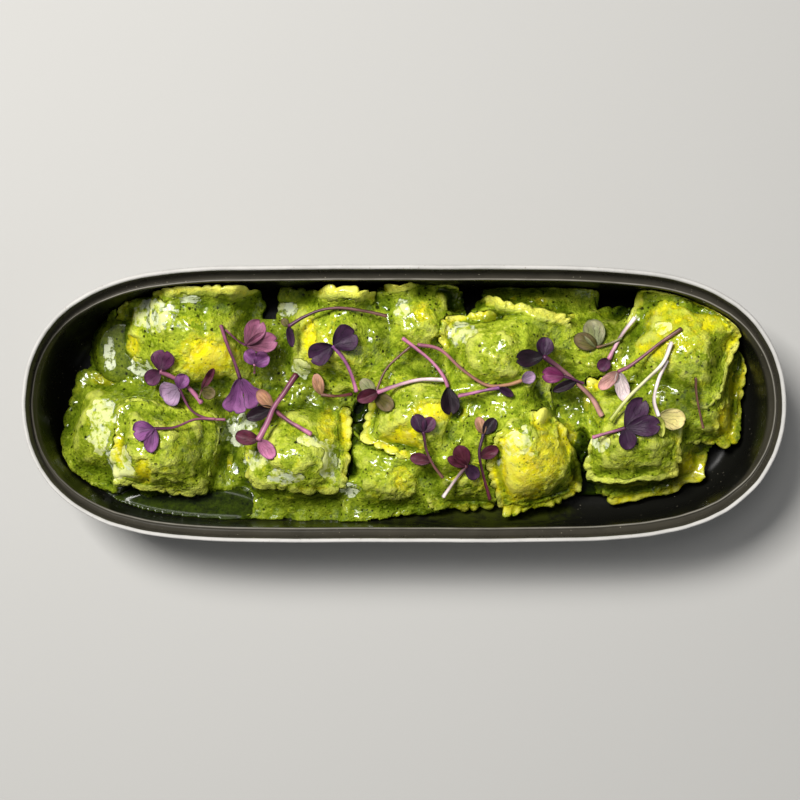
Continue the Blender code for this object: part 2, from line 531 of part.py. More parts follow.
def leaf(heap, row, base_height):
    """A thin cupped leaf: both faces are cut into triangles alike, and it starts inside its stem."""
    x0, y0, x1, y1, width = row
    base, tip = np.array([x0, y0]), np.array([x1, y1])
    way = tip - base
    across = np.array([-way[1], way[0]]) / np.linalg.norm(way)
    rows = [[0]]
    plan, cup = [base], [0.0]
    for i in range(1, LEAF_ROWS):
        share = i / (LEAF_ROWS - 0.35)
        half = width / 2 * math.sin(math.pi * share**1.35) ** 0.6
        rows.append(list(range(len(plan), len(plan) + 3)))
        for side in (-1, 0, 1):
            plan.append(base + way * share + across * half * side)
            cup.append(LEAF_CUP * side**2 * (half / width * 2))
    rows.append([len(plan)])
    plan.append(base + way * (1 - 0.06))
    cup.append(0.2)
    plan, cup = np.array(plan), np.array(cup)
    faces = []
    for lower, upper in zip(rows, rows[1:]):
        if len(lower) == 1:
            faces += [(lower[0], upper[1], upper[0]), (lower[0], upper[2], upper[1])]
        elif len(upper) == 1:
            faces += [(lower[0], lower[1], upper[0]), (lower[1], lower[2], upper[0])]
        else:
            for k in (0, 1):
                faces += [(lower[k], lower[k + 1], upper[k + 1]), (lower[k], upper[k + 1], upper[k])]
    edge = [r[0] for r in rows] + [r[-1] for r in rows[1:-1]][::-1]
    reach = np.linalg.norm(plan - base, axis=1) / np.linalg.norm(way)
    level = heap.highest(plan, 2) + GAP
    hang = max(level.mean() - base_height, -LEAF_HANG * np.linalg.norm(way))
    under = np.maximum(level, base_height + hang * np.clip(reach * 1.4, 0, 1)) + cup
    under[0] = base_height - LEAF_THICKNESS / 2
    under = lift_clear(heap, plan, under, np.array(faces), fixed=1)
    turned = np.cross(np.append(plan[faces[0][1]] - plan[faces[0][0]], 0),
                      np.append(plan[faces[0][2]] - plan[faces[0][0]], 0))[2] > 0
    if not turned:
        faces = [f[::-1] for f in faces]
    count = len(plan)
    top = under + LEAF_THICKNESS
    vertices = np.concatenate([np.column_stack([plan, top]), np.column_stack([plan, under])])
    whole = list(faces) + [tuple(i + count for i in f[::-1]) for f in faces]
    borders = {(f[k], f[(k + 1) % 3]) for f in faces for k in range(3)}
    rim = [(a, b) for a, b in borders if (b, a) not in borders]
    for a, b in sorted(rim):
        whole += [(b, a, a + count), (b, a + count, b + count)]
    return vertices, whole


def united(name, shapes, finish):
    """One body of closed shapes that run into each other."""
    first = mesh_object(name, *shapes[0], finish)
    if len(shapes) == 1:
        return first
    others = bpy.data.collections.new(name + "_shapes")
    bpy.context.scene.collection.children.link(others)
    for i, shape in enumerate(shapes[1:]):
        other = mesh_object(f"{name}_shape_{i}", *shape, finish)
        bpy.context.scene.collection.objects.unlink(other)
        others.objects.link(other)
    join = first.modifiers.new("join", "BOOLEAN")
    join.operation = "UNION"
    join.operand_type = "COLLECTION"
    join.collection = others
    join.solver = "MANIFOLD"
    bpy.context.view_layer.objects.active = first
    with bpy.context.temp_override(object=first):
        bpy.ops.object.modifier_apply(modifier=join.name)
    for other in list(others.objects):
        bpy.data.objects.remove(other)
    bpy.data.collections.remove(others)
    return first


def make_sprig(heap, row, finish):
    """One sprig of cress: its stems and leaves, joined to one body."""
    name, radius, points, leaves = row
    plan = through(points, STEM_STEP)
    line = np.column_stack([plan, settle_line(heap, plan, radius, leaves)])
    shapes = [tube(line, radius)]
    for blade in leaves:
        nearest = np.argmin(np.linalg.norm(plan - np.array(blade[:2]), axis=1))
        shapes.append(leaf(heap, (*plan[nearest], *blade[2:]), line[nearest, 2]))
    return united(name, shapes, finish)


def main():
    for obj in list(bpy.data.objects):
        bpy.data.objects.remove(obj)
    glaze = material("black_glaze", (0.02, 0.018, 0.016), 0.22)
    pasta = material("pasta_in_pesto", (0.42, 0.50, 0.06), 0.32)
    pesto = material("pesto", (0.16, 0.24, 0.02), 0.25)
    purple = material("purple_cress", (0.20, 0.05, 0.16), 0.45)

    heap = HeapTop()
    bowl = make_bowl(glaze)
    heap.add(*solid_points(bowl))
    pool = make_pool(heap, pesto)
    heap.add(*solid_points(pool))
    random = np.random.default_rng(7)
    for row in PANSOTTI:
        parcel = make_pansotto(heap, row, pasta, random)
        heap.add(*solid_points(parcel))
    for row in SPRIGS:
        sprig = make_sprig(heap, row, purple)
        heap.add(*solid_points(sprig))


main()
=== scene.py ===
"""A long stoneware bowl of pansotti in green pesto, with sprigs of purple cress.

Each operator dresses one piece, or one group of like pieces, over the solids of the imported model.
Lengths in the tables are millimetres; meshes, lights and the camera are in metres.
"""

import itertools  # noqa: E402
import json  # noqa: E402
import math  # noqa: E402

import bpy  # noqa: E402
import numpy as np  # noqa: E402
from bpy.props import FloatProperty, FloatVectorProperty, PointerProperty  # noqa: E402
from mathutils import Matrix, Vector  # noqa: E402
from mathutils.bvhtree import BVHTree  # noqa: E402

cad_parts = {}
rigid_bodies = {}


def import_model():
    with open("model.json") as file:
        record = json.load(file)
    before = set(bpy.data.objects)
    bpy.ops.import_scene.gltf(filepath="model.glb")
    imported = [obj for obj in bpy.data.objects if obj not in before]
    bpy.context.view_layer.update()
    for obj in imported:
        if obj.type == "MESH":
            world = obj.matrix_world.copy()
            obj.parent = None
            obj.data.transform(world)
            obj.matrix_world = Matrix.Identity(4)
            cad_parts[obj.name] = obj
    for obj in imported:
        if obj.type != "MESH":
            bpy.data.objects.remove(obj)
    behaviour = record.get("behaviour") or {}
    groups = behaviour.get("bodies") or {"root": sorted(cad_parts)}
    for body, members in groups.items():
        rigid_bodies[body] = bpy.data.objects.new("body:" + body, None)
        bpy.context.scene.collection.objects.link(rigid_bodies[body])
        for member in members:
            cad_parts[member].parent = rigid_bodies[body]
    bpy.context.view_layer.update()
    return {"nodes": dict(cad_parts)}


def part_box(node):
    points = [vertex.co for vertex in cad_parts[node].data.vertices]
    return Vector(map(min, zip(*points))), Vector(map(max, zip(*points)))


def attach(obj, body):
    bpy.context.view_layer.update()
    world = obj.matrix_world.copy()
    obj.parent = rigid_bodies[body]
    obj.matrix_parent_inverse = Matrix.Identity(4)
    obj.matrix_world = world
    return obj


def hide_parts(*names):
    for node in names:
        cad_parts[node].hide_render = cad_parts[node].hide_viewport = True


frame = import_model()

bl_info = {
    "name": "Bowl of pansotti",
    "version": (1, 0, 0),
    "blender": (4, 5, 0),
    "location": "View3D > Sidebar > Pansotti",
    "description": "Dresses a bowl of pansotti in pesto and purple cress, one piece at a time",
    "category": "Object",
}

MM = 0.001
BOWL_LOW, BOWL_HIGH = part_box("bowl")

# The bowl, seen from above, is |x/a|^5.5 + |y/b|^2 = 1.
BOWL_LENGTH = (BOWL_HIGH.x - BOWL_LOW.x) / MM
BOWL_WIDTH = (BOWL_HIGH.y - BOWL_LOW.y) / MM
END_POWER = 5.5
INSIDE_SHIFT = np.array([-0.45, -0.55])
BOWL_POINTS = 480

# The bead under the rim lies nearer to the rim at the ends than along the sides.
BEAD_INSET = 4.26
BEAD_HEIGHT = 40.2
BEAD_AT_ENDS = -1.15
BEAD_AT_SIDES = 0.7

# Half the bowl's section from the foot up the outside, over the rim and down to the floor:
# (distance in from the rim's outer edge, height, share of the inside's shift, glaze).
BOWL_SECTION = (
    (22.0, 0.0, 0.0, 0.0), (14.0, 0.0, 0.0, 0.0), (13.0, 0.0, 0.0, 0.0), (11.6, 0.05, 0.0, 0.0),
    (10.2, 0.25, 0.0, 0.0), (8.9, 0.7, 0.0, 0.0), (7.8, 1.5, 0.0, 0.0), (6.9, 2.4, 0.0, 0.0),
    (6.0, 3.5, 0.0, 0.0), (5.2, 4.8, 0.0, 0.0), (4.5, 6.6, 0.0, 0.0), (3.9, 9.0, 0.0, 0.0),
    (3.2, 12.0, 0.0, 0.0), (2.65, 15.5, 0.0, 0.0), (2.1, 19.5, 0.0, 0.0), (1.6, 24.0, 0.0, 0.0),
    (1.15, 29.0, 0.0, 0.0), (0.7, 34.0, 0.0, 0.0), (0.35, 38.5, 0.0, 0.0), (0.08, 41.5, 0.0, 0.0),
    (0.0, 42.8, 0.0, 0.0), (0.04, 43.7, 0.1, 0.0), (0.18, 44.4, 0.2, 0.0), (0.42, 44.85, 0.3, 0.0),
    (0.75, 45.0, 0.4, 0.0), (1.15, 44.95, 0.4, 0.0), (1.5, 44.65, 0.4, 0.15), (1.76, 44.0, 0.3, 0.85),
    (2.0, 43.2, 0.3, 1.0), (2.2, 42.2, 0.3, 1.0), (2.42, 41.2, 0.3, 1.0), (2.7, 40.45, 0.3, 1.0),
    (3.1, 39.95, 0.3, 1.0), (3.5, 39.7, 0.3, 1.0), (3.85, 39.75, 0.3, 1.0), (4.06, 40.05, 0.3, 1.0),
    (4.26, 40.2, 0.3, 1.0), (4.46, 40.1, 0.3, 1.0), (4.63, 39.7, 0.3, 1.0), (4.72, 39.1, 0.4, 1.0),
    (4.72, 38.3, 0.6, 1.0), (4.66, 37.3, 0.8, 1.0), (4.6, 36.0, 1.0, 1.0),
    (4.7, 33.0, 1.0, 1.0), (4.9, 29.0, 1.0, 1.0), (5.1, 25.0, 1.0, 1.0), (5.25, 21.0, 1.0, 1.0),
    (5.45, 17.5, 1.0, 1.0), (5.8, 14.5, 1.0, 1.0), (6.4, 11.8, 1.0, 1.0), (7.3, 9.6, 1.0, 1.0),
    (8.6, 7.9, 1.0, 1.0), (10.2, 6.7, 1.0, 1.0), (12.2, 6.1, 1.0, 1.0), (15.0, 6.0, 1.0, 1.0),
    (22.0, 6.0, 1.0, 1.0),
)

# The pool of pesto on the bowl's floor: its edge is drawn in least on the side of POOL_LEAN.
POOL_TOP = 8.9
POOL_INSET = 10.2
POOL_SPREAD = 7.0
POOL_LEAN = math.radians(225.0)
POOL_WAVES = ((3, 2.4, 0.4), (5, 1.7, 2.1), (8, 1.0, 4.0))
POOL_POINTS = 240
# Its rings: (share of its own size, height from its top).
POOL_SECTION = (
    (0.55, -2.5), (0.98, -2.5), (1.0, -1.2), (0.99, -0.3), (0.975, 0.0), (0.95, 0.0), (0.9, 0.0),
    (0.82, 0.0), (0.7, 0.0), (0.5, 0.0), (0.3, 0.0),
)

# A pansotto, as in the solids: rings of a rounded square, and the flutes of its crimped edge. The
# dressed edge goes nearer to the wall than the solid's, by EDGE_REACH.
FLUTES_A_SIDE = 6
CORNER_POWER = 8.0
DOME_POWER = 3.2
RING_COUNTS = (48, 24, 24, 12)
RING_SHARES = (1.0, 0.79, 0.58, 0.30)
FLUTE_OUT = 0.85
LOW_CLEAR = 6.9
HIGH_CLEAR = 5.9
EDGE_REACH = 0.75
PARCEL_POINTS = 6 * RING_COUNTS[0]
UNDER_SHARES = (0.30, 0.62, 0.84, 0.94, 0.985)
TOP_SHARES = (0.995, 0.98, 0.962, 0.944, 0.925, 0.905) + tuple(np.round(np.arange(0.882, 0.03, -0.0235), 4))

# (number, x and y of its middle, turn in degrees, length, width, clearance to the wall)
PANSOTTI = (
    (1, -90.6, 26.6, -11.0, 39.9, 37.6, LOW_CLEAR),
    (2, -85.2, -17.5, 4.0, 38.4, 36.1, LOW_CLEAR),
    (3, -39.9, -24.8, -3.0, 35.3, 35.3, LOW_CLEAR),
    (4, -5.7, -25.5, 5.0, 39.0, 36.8, LOW_CLEAR),
    (5, 27.4, -23.3, 0.0, 37.7, 35.4, LOW_CLEAR),
    (6, -16.7, 23.3, -14.0, 34.9, 37.2, LOW_CLEAR),
    (7, 52.4, 29.2, 0.0, 44.4, 35.2, LOW_CLEAR),
    (8, 75.2, 19.7, 12.0, 33.7, 31.4, LOW_CLEAR),
    (9, 62.4, -9.1, 0.0, 36.2, 33.1, LOW_CLEAR),
    (10, 94.8, -16.8, 13.0, 44.6, 38.3, LOW_CLEAR),
    (11, 112.2, 3.2, -4.0, 37.1, 37.5, LOW_CLEAR),
    (12, -109.6, -10.2, -12.0, 41.3, 40.5, LOW_CLEAR),
    (13, 40.8, 19.4, -16.0, 37.0, 35.5, HIGH_CLEAR),
    (14, 36.4, -5.5, 0.0, 39.4, 34.1, HIGH_CLEAR),
    (15, 6.1, 30.6, 3.0, 33.0, 30.8, HIGH_CLEAR),
    (16, -74.2, 23.4, 1.0, 41.2, 42.0, HIGH_CLEAR),
    (17, -90.1, -17.2, -9.0, 37.0, 34.0, HIGH_CLEAR),
    (18, -40.5, -16.0, -3.0, 39.7, 34.5, HIGH_CLEAR),
    (19, -28.8, 24.5, -3.0, 39.0, 37.5, HIGH_CLEAR),
    (20, 5.3, -3.2, -17.0, 36.6, 36.6, HIGH_CLEAR),
    (21, 30.9, 19.2, 6.0, 32.0, 29.1, HIGH_CLEAR),
    (22, 48.4, -21.8, 17.0, 34.6, 36.6, HIGH_CLEAR),
    (23, 84.6, -10.3, 3.0, 38.2, 39.7, HIGH_CLEAR),
    (24, 103.6, 22.4, -21.0, 41.4, 39.4, HIGH_CLEAR),
)

# Where the yellow pasta shows through the sauce: (x, y, half its length, half its width, how bare).
BARE_PATCHES = (
    (-74.1, 17.4, 9.7, 7.5, 1.00), (-78.3, 21.9, 4.5, 3.7, 0.50), (-97.0, -24.9, 3.0, 4.9, 0.90),
    (-68.9, -22.3, 2.6, 4.1, 0.80), (-102.6, 22.6, 3.0, 3.7, 0.80), (-105.6, 17.8, 4.1, 2.2, 0.60),
    (-113.8, 9.1, 5.2, 2.2, 0.80), (-110.1, 13.3, 3.0, 1.5, 0.60), (-104.1, 33.5, 1.9, 3.4, 0.70),
    (-106.3, -16.3, 2.6, 6.4, 0.80), (-35.2, 24.5, 3.0, 7.5, 0.80), (-27.7, 24.5, 6.7, 5.2, 0.35),
    (-20.6, 43.2, 10.2, 2.2, 1.00), (-5.2, 44.4, 4.9, 1.9, 0.80), (6.4, 34.2, 4.1, 3.4, 0.60),
    (13.5, 23.8, 3.4, 3.0, 0.80), (0.8, -13.7, 6.0, 6.0, 1.00), (-5.2, -15.6, 4.5, 4.5, 0.80),
    (12.4, -2.8, 9.0, 3.7, 1.00), (19.1, -3.6, 4.5, 3.0, 0.70), (-0.7, -27.9, 4.5, 6.7, 0.45),
    (42.0, -26.8, 12.7, 9.7, 0.95), (51.0, -6.2, 3.7, 5.2, 0.90), (37.9, -16.7, 6.0, 6.7, 0.70),
    (54.0, -19.3, 6.7, 11.2, 0.75), (65.2, -32.4, 2.2, 6.7, 0.80), (45.4, -36.2, 11.2, 2.2, 0.40),
    (60.7, -12.6, 4.1, 5.6, 1.00), (70.8, 8.0, 7.5, 3.4, 0.80), (68.2, 0.5, 3.0, 3.7, 0.50),
    (97.8, 32.0, 9.0, 8.2, 0.54), (110.9, 30.5, 13.5, 4.9, 0.60), (124.4, 21.9, 5.2, 4.5, 0.70),
    (94.1, 21.9, 6.7, 6.7, 0.50), (107.2, 21.9, 6.7, 4.5, 0.40), (122.2, -6.2, 4.5, 6.7, 0.80),
    (126.3, 6.9, 2.6, 5.2, 0.80), (110.9, -26.8, 9.5, 7.5, 0.95), (90.3, -38.1, 12.7, 3.0, 0.85),
    (76.5, -37.3, 4.1, 2.2, 0.90), (-48.3, 3.5, 4.5, 3.4, 0.70), (-22.1, -10.0, 2.6, 9.0, 0.80),
    (-29.4, -8.1, 3.4, 7.5, 0.60), (16.9, 26.4, 2.2, 5.2, 0.70), (32.3, 32.4, 8.2, 1.9, 0.50),
    (40.9, 38.4, 2.2, 1.9, 0.80), (48.0, 36.5, 1.9, 1.9, 0.80), (52.1, 38.0, 1.9, 1.9, 0.80),
    (56.2, 34.6, 2.2, 1.9, 0.80), (62.2, 32.4, 2.6, 2.2, 0.80), (37.9, -40.3, 11.2, 1.9, 0.90),
    (52.9, -40.7, 5.2, 1.9, 0.80), (-90.6, 44.0, 3.0, 1.5, 0.60), (-83.1, 44.0, 3.4, 1.5, 0.60),
    (-76.4, 43.6, 3.0, 1.5, 0.50), (-67.4, 43.2, 3.0, 1.5, 0.60), (-59.5, 43.6, 3.0, 1.5, 0.60),
    (19.1, -27.2, 3.4, 2.2, 0.70), (109.8, 36.5, 2.2, 1.9, 0.60), (120.3, 29.4, 3.0, 2.2, 0.70),
    (88.4, 40.6, 3.0, 3.0, 0.40), (97.1, -30.9, 4.5, 1.9, 0.50), (21.0, 34.2, 3.0, 2.6, 0.60),
)

# Edges whose flutes show bare: (number, from, to, how bare), in places from 0 to 4 round the parcel,
# which start at its lower right corner and run up its right side, then along its top.
FLUTED_EDGES = (
    (16, 1.05, 1.98, 0.9), (19, 1.0, 1.62, 0.95), (1, 2.0, 2.5, 0.6), (12, 0.2, 0.9, 0.6),
    (18, 0.15, 0.95, 0.6), (18, 2.55, 2.9, 0.5), (18, 3.3, 3.9, 0.35), (21, 1.1, 2.0, 0.85),
    (13, 1.0, 2.0, 0.7), (22, 0.05, 0.95, 1.0), (22, 3.25, 3.9, 0.7),
    (20, 2.55, 3.2, 0.7), (23, 1.45, 1.98, 0.8), (23, 0.0, 0.4, 0.45), (10, 3.0, 3.9, 0.9),
    (10, 0.0, 0.5, 0.6), (24, 0.5, 1.6, 0.9), (11, 0.3, 0.9, 0.9), (11, 3.6, 4.0, 0.6),
    (15, 1.62, 1.98, 0.9), (17, 3.1, 3.8, 0.3), (9, 0.4, 0.9, 0.8), (5, 3.2, 3.9, 0.7), (2, 3.2, 3.8, 0.2),
)

# Edges pressed flat, without flutes, in the same places: (number, from, to, how flat).
PLAIN_EDGES = (
    (22, 0.0, 1.0, 0.85), (18, 0.1, 0.9, 0.3), (24, 0.9, 1.7, 0.5), (21, 0.2, 1.0, 0.9), (10, 3.0, 3.95, 1.0),
    (10, 0.0, 0.6, 1.0), (23, 3.0, 4.0, 0.4),
)

# Corners of dough that stand up from an edge: (number, middle, half its length), in the same places.
FLAPS = ((22, 1.24, 0.20),)
FLAP_HEIGHT = 3.6

# Corners and sides that are drawn in: (number, middle, half its length, how far), in the same places.
DRAWN_IN = ((22, 1.0, 0.55, 4.6), (22, 2.0, 0.6, 6.0), (23, 2.5, 0.8, 6.0), (10, 0.0, 0.5, 3.6))

# Edges that lean up against the wall or a neighbour: (number, from, to, height reached), in the same places.
PROPPED_EDGES = ((16, 1.05, 1.95, 35.5), (19, 1.05, 1.62, 35.5), (15, 1.55, 1.95, 35.0), (13, 1.0, 1.9, 31.5))

# The balls that roll over the food: the first shapes the sauce between the parcels, the second finds
# creases for the colours. Then the sauce's own thickness.
SAUCE_BALL = 5.0
CREASE_BALL = 7.0
SAUCE_THICKNESS = 0.6

# Where the sauce lies smooth and wet, with a pale colour that is partly a creamy film and partly painted
# sheen: (x, y, half its length, half its width).
WET_PATCHES = (
    (-93.6, 32.7, 8.5, 6.5), (-80.1, 39.1, 4.0, 1.6), (-100.7, 14.0, 4.8, 3.6), (-113.5, -8.1, 5.6, 10.0),
    (-113.0, 18.5, 2.4, 7.0), (-45.3, 36.1, 4.5, 3.0), (-38.5, 13.3, 3.6, 3.4), (-28.4, -22.0, 3.4, 8.0),
    (-20.6, -33.6, 3.6, 3.4), (21.0, 26.4, 5.8, 4.5), (-0.7, 35.0, 3.0, 3.9), (41.6, -18.2, 5.8, 8.6),
    (73.6, -14.8, 2.8, 3.0), (96.3, 27.9, 2.6, 2.4), (-55.5, -21.5, 5.0, 3.2), (-60.5, -7.0, 4.5, 3.5),
    (-45.0, -27.0, 6.5, 2.6), (-36.0, -14.0, 4.0, 3.0), (-64.0, -11.0, 4.0, 6.0), (-106.0, -22.0, 5.0, 6.0),
)

# Where the bowl stays bare and black between the parcels, with painted shade on the food beside them: (x, y,
# half its length, half its width).
DARK_GAPS = (
    (-51.0, 40.5, 5.0, 5.5), (19.6, 40.8, 6.5, 5.5), (80.5, 38.5, 6.0, 6.5), (69.0, -33.5, 4.5, 6.5),
    (60.5, -39.5, 5.0, 4.0), (-15.8, -5.5, 4.0, 6.5), (-20.0, -20.0, 3.6, 8.0), (52.5, 4.7, 3.0, 3.5),
    (134.0, 0.0, 6.0, 30.0), (67.3, -22.5, 3.4, 12.0),
)

# Where shade is painted dark on the food: (x, y, half its length, half its width, how dark).
PAINTED_SHADE_PATCHES = (
    (-78.3, -19.3, 8.0, 9.0, 0.30), (-123.0, -15.0, 5.0, 12.0, 0.40), (-113.0, -8.0, 13.0, 19.0, 0.24),
    (-87.6, 3.2, 11.0, 3.6, 0.30), (-10.8, 25.6, 6.0, 9.0, 0.28), (61.0, -0.6, 9.0, 5.0, 0.55),
    (79.0, 25.6, 9.0, 8.0, 0.50), (104.6, 2.0, 8.0, 7.0, 0.60), (52.0, 22.0, 4.0, 8.0, 0.35),
    (-10.0, -36.0, 14.0, 6.0, 0.32), (15.0, -33.0, 19.0, 5.0, 0.32), (-92.0, -31.0, 13.0, 4.5, 0.32),
    (60.0, 38.0, 13.0, 4.5, 0.30), (-38.0, -37.0, 20.0, 6.0, 0.48), (88.0, -16.0, 12.0, 9.0, 0.15),
    (-66.0, 33.0, 6.0, 8.0, 0.22),
)

# Where sauce lies thick over the edges and hides them: (x, y, half its length, half its width, how thick).
BLANKETS = (
    (-71.0, -17.0, 4.5, 15.0, 1.3), (-88.0, 0.8, 17.0, 4.2, 1.2), (-60.2, -13.0, 4.2, 13.0, 1.0),
    (-104.5, 3.0, 9.0, 4.5, 0.8), (66.5, 2.5, 5.0, 7.0, 1.0), (28.0, 4.0, 20.0, 3.6, 0.8),
    (-9.5, 20.5, 3.6, 13.0, 0.9), (-42.0, 2.5, 16.0, 3.4, 0.9), (10.0, -24.0, 15.0, 4.0, 0.8),
    (94.0, 2.5, 14.0, 3.6, 0.8), (47.5, 19.0, 4.5, 12.0, 1.3), (31.0, 4.5, 14.0, 3.0, 0.6),
)

# Where thin sauce is smeared on the bowl, and, in the first and third rows, where the food's green reflection
# is painted on the wall at negative y: (x, y, half its length, half its width, how much).
SMEARS_AND_REFLECTIONS = (
    (34.0, -42.0, 34.0, 6.0, 0.8), (-107.0, 40.0, 9.0, 5.5, 0.6), (-30.0, -44.0, 60.0, 4.0, 0.6),
    (-122.0, 26.0, 6.0, 9.0, 0.45),
)

# Where sauce has run against the wall or down to the floor, painted darker as shade: (x, y, half its length,
# half its width, its height, the height of its border, how dark its painted shade is).
SKIRTS = (
    (-82.0, -39.5, 31.0, 8.5, 12.5, 9.5, 1.0), (-104.0, -33.0, 12.0, 7.0, 11.0, 8.0, 1.0),
    (-36.0, -42.0, 22.0, 5.0, 10.5, 7.5, 1.0), (-116.0, -27.5, 9.0, 7.0, 11.5, 7.5, 0.9),
    (-108.5, 20.0, 11.0, 14.0, 15.0, 6.6, 0.55),
)

# Colours of the cress, as red, green and blue from 0 to 255.
CRESS_COLOURS = {
    "plum": (74, 34, 62), "dark": (50, 27, 51), "black": (26, 14, 22), "mauve": (112, 64, 112),
    "pink": (168, 104, 134), "rose": (128, 74, 96), "lilac": (146, 122, 146), "tan": (158, 118, 84),
    "olive": (92, 86, 40), "sage": (124, 130, 84), "wine": (106, 36, 78), "cream": (208, 198, 124),
    "lime": (160, 170, 56), "white": (220, 204, 200), "maroon": (78, 28, 42), "brown": (104, 72, 60),
    "blush": (178, 134, 122),
}

